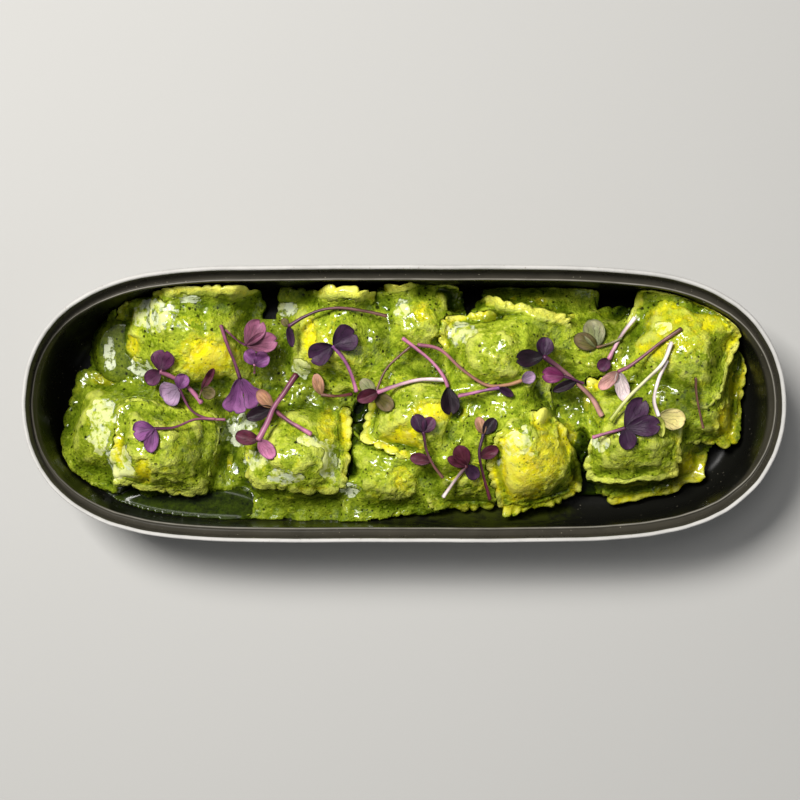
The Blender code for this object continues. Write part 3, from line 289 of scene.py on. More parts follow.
# Each sprig, from the lowest to the highest: (number, stem radius, colours of the stem's start and
# end, the points of the stem in plan, leaves). A leaf is x and y of its base, x and y of its tip, its
# width, its form and its colour.
SPRIGS = (
    (1, 0.65, "rose", "plum", ((-68.4, 29.2), (-66.1, 21.8), (-63.5, 15.2), (-61.6, 9.4)),
     ((-61.6, 9.4, -64.2, -2.8, 8.2, "fan", "mauve"), (-61.6, 9.4, -55.0, 0.0, 8.2, "fan", "mauve"))),
    (2, 0.4, "rose", "plum", ((-66.5, 27.4), (-62.4, 23.6), (-59.5, 21.8)),
     ((-59.5, 21.8, -54.0, 30.6, 6.8, "heart", "rose"), (-59.5, 21.8, -48.4, 23.6, 7.0, "heart", "rose"))),
    (3, 0.45, "rose", "pink", ((-57.0, 11.5), (-56.2, 14.6)),
     ((-56.2, 14.6, -59.0, 19.8, 4.6, "oval", "mauve"), (-56.2, 14.6, -51.4, 18.0, 5.2, "oval", "mauve"))),
    (4, 0.85, "rose", "pink", ((-91.4, 12.0), (-83.8, 8.0), (-80.0, 4.6), (-76.4, 0.2)),
     ((-91.4, 12.0, -89.6, 19.4, 8.2, "heart", "plum"), (-91.4, 12.0, -96.6, 8.0, 5.4, "oval", "plum"))),
    (5, 0.5, "plum", "rose", ((-84.6, 5.6), (-80.6, -2.0), (-74.8, -5.4), (-67.4, -6.2)),
     ((-84.6, 5.6, -90.6, 2.0, 8.4, "oval", "lilac"), (-84.6, 5.6, -82.4, 10.6, 4.8, "oval", "mauve"))),
    (6, 0.5, "plum", "rose", ((-92.0, -9.2), (-85.0, -8.8), (-77.8, -6.0), (-70.4, -5.8)),
     ((-92.0, -9.2, -99.4, -10.4, 6.6, "heart", "mauve"), (-92.0, -9.2, -93.6, -17.6, 4.6, "oval", "mauve"))),
    (7, 0.4, "olive", "maroon", ((-77.2, 2.0), (-76.2, 5.2)),
     ((-76.2, 5.2, -71.8, 12.6, 2.6, "blade", "maroon"), (-76.2, 5.2, -71.6, 3.0, 4.4, "oval", "olive"))),
    (8, 0.8, "pink", "maroon", ((-34.6, -11.4), (-40.8, -8.0), (-45.4, -5.0), (-49.2, -1.6)),
     ((-49.2, -1.6, -54.6, 4.4, 4.4, "oval", "tan"), (-49.2, -1.6, -58.6, -5.4, 4.6, "oval", "black"))),
    (9, 1.05, "maroon", "pink",
     ((-40.2, 10.8), (-44.4, 4.6), (-48.8, -1.8), (-51.2, -7.8), (-54.2, -13.6)),
     ((-54.2, -13.6, -62.4, -12.0, 5.0, "oval", "maroon"), (-54.2, -13.6, -48.6, -19.8, 5.0, "oval", "pink"))),
    (10, 0.6, "brown", "plum",
     ((-6.4, 32.6), (-14.4, 34.4), (-23.6, 35.6), (-31.0, 34.8), (-37.4, 32.2), (-43.0, 28.8)),
     ((-43.0, 28.8, -41.8, 21.6, 2.6, "blade", "dark"), (-43.0, 28.8, -45.4, 31.4, 2.4, "oval", "olive"))),
    (11, 0.7, "pink", "mauve", ((-17.8, 4.4), (-19.8, 11.2), (-22.6, 16.8), (-26.4, 21.4)),
     ((-26.4, 21.4, -34.6, 16.6, 7.4, "heart", "dark"), (-26.4, 21.4, -18.4, 26.0, 9.0, "heart", "dark"))),
    (12, 0.6, "maroon", "brown", ((-19.4, 3.4), (-25.4, 2.8), (-31.2, 3.2)),
     ((-31.2, 3.2, -33.4, 10.8, 3.8, "oval", "tan"),)),
    (13, 0.5, "brown", "brown", ((3.0, 21.8), (-2.4, 17.2), (-7.0, 12.2), (-10.8, 3.4)),
     ((-10.8, 3.4, -15.8, 8.6, 4.4, "oval", "sage"), (-10.8, 3.4, -4.6, -1.8, 5.4, "oval", "olive"))),
    (14, 0.75, "white", "pink", ((15.4, 8.8), (6.0, 8.8), (-2.4, 6.8), (-9.8, 4.2)),
     ((-9.8, 4.2, -17.0, 1.4, 4.6, "blade", "maroon"),)),
    (15, 0.65, "pink", "pink", ((-0.4, 24.4), (4.2, 20.8), (10.4, 15.6), (14.6, 10.4), (16.4, 6.2)),
     ((16.4, 6.2, 17.6, -3.6, 6.2, "heart", "black"),)),
    (16, 0.65, "rose", "tan",
     ((5.2, 21.8), (13.4, 20.0), (21.0, 13.2), (30.2, 7.0), (37.6, 6.8), (43.6, 8.4)),
     ((43.6, 8.4, 48.4, 10.6, 4.0, "oval", "lilac"),)),
    (17, 0.65, "pink", "mauve", ((20.2, 2.8), (27.0, 4.2), (35.2, 5.8)),
     ((35.2, 5.8, 40.2, 3.0, 2.6, "blade", "dark"),)),
    (18, 0.55, "plum", "brown", ((7.2, -10.6), (8.4, -17.4), (11.0, -23.0), (14.6, -27.8)),
     ((7.2, -10.6, 4.0, -4.6, 5.0, "oval", "dark"), (7.2, -10.6, 10.6, -5.6, 4.6, "oval", "plum"),
      (10.4, -21.6, 2.8, -20.2, 4.0, "oval", "maroon"))),
    (19, 0.65, "maroon", "white", ((23.6, -23.4), (18.8, -29.8), (14.8, -35.4)),
     ((23.6, -23.4, 20.2, -16.4, 5.6, "oval", "maroon"), (23.6, -23.4, 16.8, -20.6, 3.6, "blade", "maroon"),
      (23.6, -23.4, 27.6, -28.0, 4.6, "oval", "dark"))),
    (20, 0.6, "dark", "maroon", ((29.6, -11.4), (28.0, -18.4), (29.6, -26.8), (32.2, -36.0)),
     ((29.6, -11.4, 27.6, -5.4, 3.6, "oval", "tan"), (29.6, -11.4, 33.6, -6.0, 4.2, "oval", "black"),
      (28.2, -20.0, 34.6, -16.8, 4.2, "oval", "maroon"))),
    (21, 0.9, "plum", "blush", ((51.8, 17.4), (58.4, 12.6), (64.6, 7.4), (70.2, 1.6), (73.6, -4.6)),
     ((51.8, 17.4, 52.6, 24.2, 5.6, "oval", "dark"), (51.8, 17.4, 42.0, 16.4, 5.8, "heart", "black"))),
    (22, 0.5, "plum", "plum", ((66.6, 7.4), (62.0, 9.2), (59.6, 10.0)),
     ((59.6, 10.0, 51.8, 10.8, 5.4, "heart", "wine"), (64.0, 8.4, 56.0, 4.8, 3.2, "blade", "black"))),
    (23, 0.75, "white", "pink", ((87.0, 32.2), (82.6, 26.8), (79.6, 21.8), (77.0, 16.6)),
     ((77.0, 16.6, 73.6, 12.8, 4.4, "oval", "plum"),)),
    (24, 0.65, "brown", "rose", ((102.2, 27.6), (95.2, 22.8), (89.0, 17.8), (83.6, 13.8), (79.4, 11.8)),
     ((79.4, 11.8, 82.2, 1.4, 4.6, "oval", "white"), (79.4, 11.8, 73.0, 5.8, 4.2, "oval", "blush"))),
    (25, 0.7, "white", "white", ((96.8, 15.8), (93.6, 7.8), (92.4, 1.0), (94.0, -4.6)),
     ((94.0, -4.6, 103.6, -6.6, 7.0, "oval", "cream"), (94.0, -4.6, 95.2, -12.0, 3.0, "blade", "lime"))),
    (26, 0.65, "pink", "plum", ((70.0, -12.6), (75.8, -10.8), (81.6, -9.0)),
     ((81.6, -9.0, 88.4, 1.0, 7.4, "heart", "dark"), (81.6, -9.0, 93.6, -7.8, 7.0, "heart", "dark"),
      (81.6, -9.0, 82.8, -16.6, 5.6, "oval", "dark"))),
    (27, 0.7, "white", "lime", ((98.2, 22.4), (95.2, 15.0), (89.0, 8.6), (82.4, 2.0), (75.8, -6.2)), ()),
    (28, 0.45, "sage", "brown", ((81.6, 24.4), (77.4, 22.6), (72.4, 21.0)),
     ((72.4, 21.0, 70.6, 31.0, 7.4, "oval", "sage"), (72.4, 21.0, 64.4, 24.8, 5.6, "oval", "olive"))),
    (29, 0.45, "brown", "brown", ((107.8, 9.4), (108.4, 3.4), (111.4, -9.2)), ()),
)
STEM_STOUTER = 1.15
STEM_POINTS = 10
STEM_RINGS = 44
LEAF_ROWS = 19
LEAF_COLUMNS = 13
LEAF_LONGER = 1.08
LEAF_WIDER = 1.17
LEAF_RISE = 0.3
LEAF_HANG = 0.22
LEAF_FORMS = {
    # form: (how far along it is widest, notch at the tip, cup, fold along the middle)
    "heart": (0.60, 0.16, 0.24, 0.22),
    "fan": (0.80, 0.10, 0.16, 0.34),
    "oval": (0.54, 0.04, 0.30, 0.18),
    "blade": (0.50, 0.0, 0.10, 0.60),
}

CAMERA_PLACE = (-1.46, 1.28, 645.0)
CAMERA_LENS = 74.0
CAMERA_SENSOR = 36.0


def linear(red, green, blue):
    """A colour from 0 to 255 a channel, as the shaders need it."""
    return tuple(
        c / 255 / 12.92 if c / 255 <= 0.04045 else ((c / 255 + 0.055) / 1.055) ** 2.4
        for c in (red, green, blue)
    )


def colour_property(name, description, red, green, blue):
    """A colour that a user can change."""
    return FloatVectorProperty(
        name=name, description=description, subtype="COLOR", size=3, min=0.0, max=1.0,
        default=linear(red, green, blue),
    )


class BowlSettings(bpy.types.PropertyGroup):
    """Finish of the bowl."""

    stoneware: colour_property("Stoneware", "Bare clay of the rim and the outside", 188, 186, 182)
    glaze: colour_property("Glaze", "Black glaze inside", 18, 18, 15)
    # Lighter glaze on the upper inside wall: partly thinner glaze, partly painted sheen.
    glaze_edge_sheen: colour_property("Glaze at the rim", "Thin glaze just under the rim", 60, 57, 49)
    wobble: FloatProperty(
        name="Wobble", description="How uneven the hand-made rim is", subtype="DISTANCE",
        default=0.00025, min=0.0, max=0.001,
    )


class FoodSettings(bpy.types.PropertyGroup):
    """Sauce and pasta."""

    pesto_light: colour_property("Light pesto", "Creamy pesto where it lies thick", 180, 194, 56)
    pesto_mid: colour_property("Pesto", "Pesto over most of the food", 116, 138, 18)
    pesto_deep: colour_property("Deep pesto", "Specks of pesto on the bare pasta", 50, 68, 8)
    # The pool's colours are darker than the pesto's: painted shade low in the bowl.
    shaded_pool_light: colour_property("Light pool", "Lighter parts of the pool on the floor", 60, 76, 6)
    shaded_pool_mid: colour_property("Pool", "Most of the pool on the floor", 34, 44, 4)
    basil: colour_property("Basil", "Flecks of basil leaf", 16, 26, 4)
    pasta: colour_property("Pasta", "Yellow egg pasta", 234, 228, 18)
    pasta_pale: colour_property("Pale pasta", "Drier pasta on edges and ridges", 232, 228, 104)
    sauce_coat: FloatProperty(
        name="Sauce coat", description="Thickness of the pesto on the pasta", subtype="DISTANCE",
        default=0.00042, min=0.0, max=0.001,
    )
    grain: FloatProperty(
        name="Grain", description="Height of the pesto's grains", subtype="DISTANCE",
        default=0.00030, min=0.0, max=0.0005,
    )


class CressSettings(bpy.types.PropertyGroup):
    """Leaves and stems."""

    leaf_thickness: FloatProperty(
        name="Leaf thickness", description="Thickness of a seed leaf", subtype="DISTANCE",
        default=0.00035, min=0.0001, max=0.001,
    )
    pale_tint: colour_property("Pale band", "Tint of the paler band inside a leaf's edge", 190, 130, 170)


class StageSettings(bpy.types.PropertyGroup):
    """Floor, lights and camera."""

    floor: colour_property("Floor", "Plain pale floor", 170, 169, 166)
    key_power: FloatProperty(
        name="Key light", description="Soft light from the upper left", subtype="POWER", default=28.9,
    )
    fill_power: FloatProperty(
        name="Fill light", description="Wide soft light from the right", subtype="POWER", default=1.6,
    )
    top_power: FloatProperty(
        name="Top light", description="Small soft light beside the camera, for the wet glints",
        subtype="POWER", default=2.2,
    )
    sky: FloatProperty(name="Sky", description="Strength of the even light all round", default=0.09)


# Plan of the bowl and of the parcels, as in the solids.


def outline(inset, count, shift=(0.0, 0.0)):
    """Points round the bowl in plan, inset from the rim's outer edge, and the normals there."""
    angle = np.linspace(0.0, 2.0 * math.pi, 8001)
    cosine = np.cos(angle)
    a = BOWL_LENGTH / 2
    b = BOWL_WIDTH / 2
    x = a * np.sign(cosine) * np.abs(cosine) ** (2.0 / END_POWER)
    y = b * np.sin(angle)
    normal = np.stack([END_POWER / a * np.abs(x / a) ** (END_POWER - 1) * np.sign(x), 2 * y / b**2], 1)
    normal /= np.linalg.norm(normal, axis=1)[:, None]
    step = np.hypot(np.diff(x), np.diff(y))
    bend = np.abs(np.arctan2(
        normal[:-1, 0] * normal[1:, 1] - normal[:-1, 1] * normal[1:, 0],
        (normal[:-1] * normal[1:]).sum(1),
    ))
    along = np.concatenate([[0.0], np.cumsum(step / step.sum() + bend / bend.sum())])
    wanted = np.arange(count) / count * along[-1]
    point = np.stack([np.interp(wanted, along, x), np.interp(wanted, along, y)], 1)
    facing = np.stack([np.interp(wanted, along, normal[:, 0]), np.interp(wanted, along, normal[:, 1])], 1)
    facing /= np.linalg.norm(facing, axis=1)[:, None]
    return point - inset * facing + np.asarray(shift), facing


WALL_POINTS, WALL_NORMALS = outline(0.0, 720)


def nearest_wall(points):
    """The place in the list of wall points that is nearest to each point."""
    moved = points - INSIDE_SHIFT
    found = []
    for part in np.array_split(moved, max(1, len(moved) // 2000)):
        away = (part[:, :1] - WALL_POINTS[:, 0]) ** 2 + (part[:, 1:] - WALL_POINTS[:, 1]) ** 2
        found.append(away.argmin(1))
    return np.concatenate(found)


def wall_distance(points):
    """Each point's distance in from the rim's outer edge."""
    nearest = nearest_wall(points)
    return -((points - INSIDE_SHIFT - WALL_POINTS[nearest]) * WALL_NORMALS[nearest]).sum(1)


def keep_inside(points, clearance, room=2.5):
    """Presses points that come near the wall inwards, without changing their order."""
    nearest = nearest_wall(points)
    normal = WALL_NORMALS[nearest]
    distance = -((points - INSIDE_SHIFT - WALL_POINTS[nearest]) * normal).sum(1)
    start = clearance + room
    near = np.minimum(distance, start)
    pressed = clearance + room * np.exp((near - start) / room)
    return points - np.where(distance < start, pressed - distance, 0.0)[:, None] * normal


def square_ring(place, share, power):
    """Points of a rounded square of this share, at these places from 0 to 4 round it."""
    place = place % 4.0
    side = np.floor(place).astype(int)
    along = 2.0 * (place - side) - 1.0
    one = np.ones(len(place))
    u = np.choose(side, [one, -along, -one, along])
    v = np.choose(side, [along, one, -along, -one])
    size = (np.abs(u) ** power + np.abs(v) ** power) ** (1.0 / power)
    return np.stack([u, v], 1) / size[:, None] * np.asarray(share).reshape(-1, 1)


# Noise, and small helpers.


def lumps(points, seed):
    """Smooth noise from -1 to 1, one lump to a unit, at points of two or three coordinates."""
    cell = np.floor(points).astype(np.int64)
    part = points - cell
    ease = part**3 * (part * (part * 6 - 15) + 10)
    total = np.zeros(len(points))
    primes = np.array([73856093, 19349663, 83492791], dtype=np.int64)[: points.shape[1]]
    for corner in itertools.product((0, 1), repeat=points.shape[1]):
        mixed = ((cell + corner) * primes).sum(1) + seed * 15485863
        mixed = (mixed ^ (mixed >> 13)) * 1274126177 & 0x7FFFFFFF
        mixed = (mixed ^ (mixed >> 16)) * 668265263 & 0x7FFFFFFF
        value = ((mixed >> 7) & 0xFFFF) / 32767.5 - 1.0
        total += value * np.prod(np.where(corner, ease, 1 - ease), axis=1)
    return total


def smooth(low, high, value):
    """0 below low, 1 above high and an even rise between them."""
    part = np.clip((value - low) / (high - low), 0.0, 1.0)
    return part * part * (3 - 2 * part)


def away_from(points, x, y, long, wide):
    """Each point's distance from the middle of a patch, in plan: 1 on the patch's border."""
    return np.hypot((points[..., 0] - x) / long, (points[..., 1] - y) / wide)


def evened(values, axis=0):
    """Each value evened with its two neighbours, round and round."""
    return (np.roll(values, 1, axis) + 2 * values + np.roll(values, -1, axis)) / 4


def settings():
    """What a user can change."""
    return bpy.context.scene.pansotti


def start_fresh():
    """Leaves nothing selected, in object mode."""
    if bpy.context.mode != "OBJECT":
        bpy.ops.object.mode_set(mode="OBJECT")
    bpy.ops.object.select_all(action="DESELECT")


def select_only(*objects):
    """Selects these objects alone, the first one active."""
    start_fresh()
    for obj in objects:
        obj.select_set(True)
    bpy.context.view_layer.objects.active = objects[0]


def face_outwards():
    """Turns all faces of the mesh in edit mode outwards, and leaves edit mode."""
    bpy.ops.mesh.select_all(action="SELECT")
    bpy.ops.mesh.normals_make_consistent(inside=False)
    bpy.ops.object.mode_set(mode="OBJECT")


def ring_stack(name, points, rings):
    """Rings of points a metre apart, one over the other and closed at both ends: the start of each
    round piece. A point's ring and its place round it are read from its height and its angle."""
    start_fresh()
    bpy.ops.mesh.primitive_circle_add(vertices=points, radius=1.0, fill_type="NOTHING")
    made = bpy.context.object
    made.name = name
    bpy.ops.object.mode_set(mode="EDIT")
    bpy.ops.mesh.select_all(action="SELECT")
    for _ in range(rings):
        bpy.ops.mesh.extrude_edges_move(TRANSFORM_OT_translate={"value": (0.0, 0.0, 1.0)})
    bpy.ops.mesh.merge(type="CENTER")
    bpy.ops.mesh.select_all(action="DESELECT")
    bpy.ops.mesh.select_non_manifold()
    bpy.ops.mesh.extrude_edges_move(TRANSFORM_OT_translate={"value": (0.0, 0.0, -1.0)})
    bpy.ops.mesh.merge(type="CENTER")
    face_outwards()
    return made


def copy_of(blank, name):
    """A copy of a blank with its own mesh."""
    mesh = blank.data.copy()
    mesh.name = name
    made = bpy.data.objects.new(name, mesh)
    bpy.context.scene.collection.objects.link(made)
    return made


def remove(obj):
    """Takes an object and its mesh out of the file."""
    mesh = obj.data
    bpy.data.objects.remove(obj)
    bpy.data.meshes.remove(mesh)


def points_of(mesh, wanted="co"):
    """The places of a mesh's points, or their normals."""
    found = np.empty(len(mesh.vertices) * 3, np.float32)
    mesh.vertices.foreach_get(wanted, found)
    return found.reshape(-1, 3).astype(float)


def place_points(mesh, points):
    """Moves a mesh's points to these places, in metres."""
    mesh.vertices.foreach_set("co", np.asarray(points, np.float32).ravel())
    mesh.update()


def stack_places(mesh):
    """Each point's ring, and its place round the ring from 0 to 1, in a ring stack."""
    found = points_of(mesh)
    ring = np.round(found[:, 2]).astype(int)
    place = (np.arctan2(found[:, 1], found[:, 0]) / (2 * math.pi)) % 1.0
    return ring, place


def value_attribute(mesh, name, values):
    """A number at each point for the material to read."""
    made = mesh.attributes.get(name) or mesh.attributes.new(name, "FLOAT", "POINT")
    made.data.foreach_set("value", np.asarray(values, np.float32))


def tint_attribute(mesh, colours):
    """A colour at each point for the material to read."""
    made = mesh.color_attributes.new(name="tint", type="FLOAT_COLOR", domain="POINT")
    filled = np.ones((len(mesh.vertices), 4), np.float32)
    filled[:, :3] = colours
    made.data.foreach_set("color", filled.ravel())


def thicken(obj, thickness, offset):
    """Makes a sheet this thick: offset -1 keeps its upper face where it is, and 0 its middle."""
    select_only(obj)
    thick = obj.modifiers.new("thickness", "SOLIDIFY")
    thick.thickness = thickness
    thick.offset = offset
    bpy.ops.object.modifier_apply(modifier=thick.name)


def finish_piece(obj, finish, slot, *nodes):
    """Gives a piece its material, ties it to the body and hides the solids that it stands for."""
    obj.data.materials.clear()
    obj.data.materials.append(finish)
    obj.data.shade_smooth()
    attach(obj, "root")
    if nodes:
        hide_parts(*nodes)


class Heights:
    """The highest surface of the food on a fine grid over the bowl, in millimetres."""

    STEP = 0.55
    EMPTY = -50.0

    def __init__(self):
        self.x0 = -BOWL_LENGTH / 2 - 2.0
        self.y0 = -BOWL_WIDTH / 2 - 2.0
        self.shape = (int(-2 * self.x0 / self.STEP) + 1, int(-2 * self.y0 / self.STEP) + 1)
        self.height = np.full(self.shape, self.EMPTY)

    def add(self, obj):
        """Looks straight down on a piece and keeps the higher surface at each grid point."""
        mesh = obj.data
        points = points_of(mesh) / MM
        mesh.calc_loop_triangles()
        corners = np.empty(len(mesh.loop_triangles) * 3, np.int32)
        mesh.loop_triangles.foreach_get("vertices", corners)
        tree = BVHTree.FromPolygons(points.tolist(), corners.reshape(-1, 3).tolist())
        low = np.maximum(np.floor((points.min(0)[:2] - (self.x0, self.y0)) / self.STEP).astype(int), 0)
        high = np.ceil((points.max(0)[:2] - (self.x0, self.y0)) / self.STEP).astype(int)
        above = float(points[:, 2].max()) + 5.0
        down = Vector((0.0, 0.0, -1.0))
        for i in range(low[0], min(high[0] + 1, self.shape[0])):
            for j in range(low[1], min(high[1] + 1, self.shape[1])):
                hit = tree.ray_cast(Vector((self.x0 + i * self.STEP, self.y0 + j * self.STEP, above)), down)
                if hit[0] is not None and hit[0].z > self.height[i, j]:
                    self.height[i, j] = hit[0].z

    def highest(self, points, cells=1):
        """The highest surface within this many cells of each point."""
        index = np.round((points - (self.x0, self.y0)) / self.STEP).astype(int)
        found = np.full(len(points), self.EMPTY)
        for di in range(-cells, cells + 1):
            for dj in range(-cells, cells + 1):
                i = np.clip(index[:, 0] + di, 0, self.shape[0] - 1)
                j = np.clip(index[:, 1] + dj, 0, self.shape[1] - 1)
                found = np.maximum(found, self.height[i, j])
        return found


def read_grid(field, heights, points):
    """The field at these points, evened between its grid points."""
    place = (points - (heights.x0, heights.y0)) / heights.STEP
    cell = np.clip(np.floor(place).astype(int), 0, np.array(field.shape) - 2)
    part = np.clip(place - cell, 0.0, 1.0)
    i, j = cell[:, 0], cell[:, 1]
    low = field[i, j] * (1 - part[:, 0]) + field[i + 1, j] * part[:, 0]
    high = field[i, j + 1] * (1 - part[:, 0]) + field[i + 1, j + 1] * part[:, 0]
    return low * (1 - part[:, 1]) + high * part[:, 1]


def food_pieces():
    """The parcels, then the pool and the sauce between them, as far as they have been made."""
    return [
        obj for prefix in ("parcel_", "pesto_")
        for obj in sorted(bpy.data.objects, key=lambda o: o.name) if obj.name.startswith(prefix)
    ]


def food_heights():
    """Heights of the parcels, the pool and the sauce that have been made so far."""
    heights = Heights()
    for obj in food_pieces():
        heights.add(obj)
    return heights


# Materials.


def add_node(tree, kind, values=None, **options):
    """A node with these options; values gives its inputs, each a number, a colour or a socket."""
    made = tree.nodes.new(kind)
    for name, option in options.items():
        setattr(made, name, option)
    for name, value in (values or {}).items():
        socket = made.inputs[name]
        if isinstance(value, bpy.types.NodeSocket):
            tree.links.new(value, socket)
        elif isinstance(value, tuple) and len(value) == 3 and socket.type == "RGBA":
            socket.default_value = (*value, 1.0)
        else:
            socket.default_value = value
    return made


def math_node(tree, operation, first, second=0.0, third=0.0):
    """The result of one sum."""
    return add_node(tree, "ShaderNodeMath", {0: first, 1: second, 2: third},
                    operation=operation).outputs[0]


def step_node(tree, value, low, high):
    """0 below low and 1 above high, with a smooth rise."""
    made = add_node(tree, "ShaderNodeMapRange", {"Value": value, "From Min": low, "From Max": high},
                    interpolation_type="SMOOTHSTEP")
    return made.outputs["Result"]


def mix_node(tree, share, first, second, blend="MIX"):
    """A colour between two colours."""
    made = tree.nodes.new("ShaderNodeMix")
    made.data_type = "RGBA"
    made.blend_type = blend
    for socket, value in ((made.inputs[0], share), (made.inputs[6], first), (made.inputs[7], second)):
        if isinstance(value, bpy.types.NodeSocket):
            tree.links.new(value, socket)
        elif isinstance(value, tuple):
            socket.default_value = (*value[:3], 1.0)
        else:
            socket.default_value = value
    return made.outputs[2]


def object_place(tree):
    """The place on the piece, which textures follow."""
    return add_node(tree, "ShaderNodeTexCoord").outputs["Object"]


def read_value(tree, name):
    """A number that the mesh carries at each point."""
    return add_node(tree, "ShaderNodeAttribute", attribute_name=name).outputs["Fac"]


def noise_node(tree, vector, scale, detail=2.0, roughness=0.5):
    """Cloudy noise from 0 to 1."""
    made = add_node(tree, "ShaderNodeTexNoise",
                    {"Vector": vector, "Scale": scale, "Detail": detail, "Roughness": roughness})
    return made.outputs["Fac"]


def start_group(name, inputs, outputs):
    """A new node group with these named sockets, and its input and output nodes."""
    group = bpy.data.node_groups.new(name, "ShaderNodeTree")
    for label, kind, default in inputs:
        socket = group.interface.new_socket(name=label, in_out="INPUT", socket_type=kind)
        socket.default_value = default
    for label, kind in outputs:
        group.interface.new_socket(name=label, in_out="OUTPUT", socket_type=kind)
    return group, group.nodes.new("NodeGroupInput"), group.nodes.new("NodeGroupOutput")


def fleck_group():
    """Small flecks scattered over a surface, such as basil in pesto or specks in a glaze."""
    if "flecks" in bpy.data.node_groups:
        return bpy.data.node_groups["flecks"]
    group, given, out = start_group(
        "flecks",
        (("Scale", "NodeSocketFloat", 700.0), ("Share", "NodeSocketFloat", 0.3),
         ("Size", "NodeSocketFloat", 0.3)),
        (("Mask", "NodeSocketFloat"),),
    )
    place = object_place(group)
    bend = add_node(group, "ShaderNodeTexNoise", {"Vector": place, "Scale": 1800.0}).outputs["Color"]
    bent = add_node(group, "ShaderNodeVectorMath", {0: bend, 1: (0.0006, 0.0006, 0.0006)},
                    operation="MULTIPLY").outputs[0]
    moved = add_node(group, "ShaderNodeVectorMath", {0: place, 1: bent}, operation="ADD").outputs[0]
    cells = add_node(group, "ShaderNodeTexVoronoi", {"Vector": moved, "Scale": given.outputs["Scale"]})
    chosen = add_node(group, "ShaderNodeSeparateColor", {"Color": cells.outputs["Color"]})
    keep = math_node(group, "LESS_THAN", chosen.outputs["Red"], given.outputs["Share"])
    reach = math_node(group, "MULTIPLY", given.outputs["Size"],
                      math_node(group, "ADD", chosen.outputs["Green"], 0.35))
    inner = math_node(group, "MULTIPLY", reach, 0.6)
    spot = add_node(group, "ShaderNodeMapRange", {
        "Value": cells.outputs["Distance"], "From Min": reach, "From Max": inner,
    }).outputs["Result"]
    group.links.new(math_node(group, "MULTIPLY", spot, keep), out.inputs["Mask"])
    return group


def fleck_mask(tree, scale, share, size):
    """1 on flecks: scale gives how many, share how many of them show, and size how large they are."""
    return add_node(tree, "ShaderNodeGroup", {"Scale": scale, "Share": share, "Size": size},
                    node_tree=fleck_group()).outputs["Mask"]


def grain_group():
    """Height of a wet grainy surface: soft ripples with grains on them."""
    if "wet_grain" in bpy.data.node_groups:
        return bpy.data.node_groups["wet_grain"]
    group, given, out = start_group(
        "wet_grain",
        (("Ripple", "NodeSocketFloat", 480.0), ("Grain", "NodeSocketFloat", 1350.0),
         ("Grain Share", "NodeSocketFloat", 0.5)),
        (("Height", "NodeSocketFloat"),),
    )
    place = object_place(group)
    ripple = noise_node(group, place, given.outputs["Ripple"], 3.0, 0.55)
    grain = noise_node(group, place, given.outputs["Grain"], 3.0, 0.6)
    share = math_node(group, "MULTIPLY", grain, given.outputs["Grain Share"])
    group.links.new(math_node(group, "ADD", ripple, share), out.inputs["Height"])
    return group


def pesto_group():
    """Colour of pesto: creamy and green mottling with flecks of basil."""
    if "pesto_colour" in bpy.data.node_groups:
        return bpy.data.node_groups["pesto_colour"]
    food = settings().food
    group, given, out = start_group(
        "pesto_colour",
        (("Light", "NodeSocketColor", (*food.pesto_light, 1.0)),
         ("Mid", "NodeSocketColor", (*food.pesto_mid, 1.0)),
         ("Basil", "NodeSocketColor", (*food.basil, 1.0)), ("Flecks", "NodeSocketFloat", 0.38),
         ("Cream", "NodeSocketFloat", 0.75)),
        (("Colour", "NodeSocketColor"),),
    )
    place = object_place(group)
    cloud = step_node(group, noise_node(group, place, 150.0, 4.0, 0.6), 0.38, 0.64)
    mottle = step_node(group, noise_node(group, place, 720.0, 4.0, 0.65), 0.40, 0.62)
    share = math_node(group, "ADD", math_node(group, "MULTIPLY", cloud, 0.5),
                      math_node(group, "MULTIPLY", mottle, 0.5))
    colour = mix_node(group, share, given.outputs["Mid"], given.outputs["Light"])
    shade = step_node(group, noise_node(group, place, 380.0, 6.0, 0.75), 0.48, 0.66)
    darker = mix_node(group, 1.0, colour, (0.32, 0.40, 0.18), "MULTIPLY")
    colour = mix_node(group, math_node(group, "MULTIPLY", shade, 0.85), colour, darker)
    cream = math_node(group, "MULTIPLY", fleck_mask(group, 560.0, 0.22, 0.30), given.outputs["Cream"])
    lighter = mix_node(group, 0.6, colour, linear(226, 230, 104))
    colour = mix_node(group, cream, colour, lighter)
    small = fleck_mask(group, 900.0, given.outputs["Flecks"], 0.40)
    large = fleck_mask(group, 500.0, 0.30, 0.31)
    shred = fleck_mask(group, 300.0, 0.10, 0.24)
    crowd = step_node(group, noise_node(group, place, 190.0, 3.0, 0.6), 0.40, 0.62)
    crowd = math_node(group, "MULTIPLY_ADD", crowd, 0.8, 0.2)
    flecks = math_node(group, "MAXIMUM", math_node(group, "MULTIPLY", small, crowd),
                       math_node(group, "MAXIMUM", large, shred))
    colour = mix_node(group, math_node(group, "MULTIPLY", flecks, 0.92), colour, given.outputs["Basil"])
    group.links.new(colour, out.inputs["Colour"])
    return group


def new_material(name):
    """A material with an empty Principled shader, and that shader."""
    if name in bpy.data.materials:
        raise RuntimeError(f"there is a material named {name} already")
    made = bpy.data.materials.new(name)
    made.use_nodes = True
    return made, made.node_tree, made.node_tree.nodes["Principled BSDF"]


def shared_material(name, make):
    """The material of this name, made if it isn't there yet."""
    return bpy.data.materials.get(name) or make()


def bump_node(tree, height, strength, distance):
    """The normal of a surface with this relief."""
    return add_node(tree, "ShaderNodeBump",
                    {"Height": height, "Strength": strength, "Distance": distance}).outputs["Normal"]


def set_shader(shader, specular, weight, radius, scale, **others):
    """Sets the shader's gloss, how much light passes into the surface and how far, and others."""
    for name, value in (
        ("Specular IOR Level", specular), ("Subsurface Weight", weight), ("Subsurface Radius", radius),
        ("Subsurface Scale", scale),
    ):
        shader.inputs[name].default_value = value
    for name, value in others.items():
        shader.inputs[name.replace("_", " ").title()].default_value = value


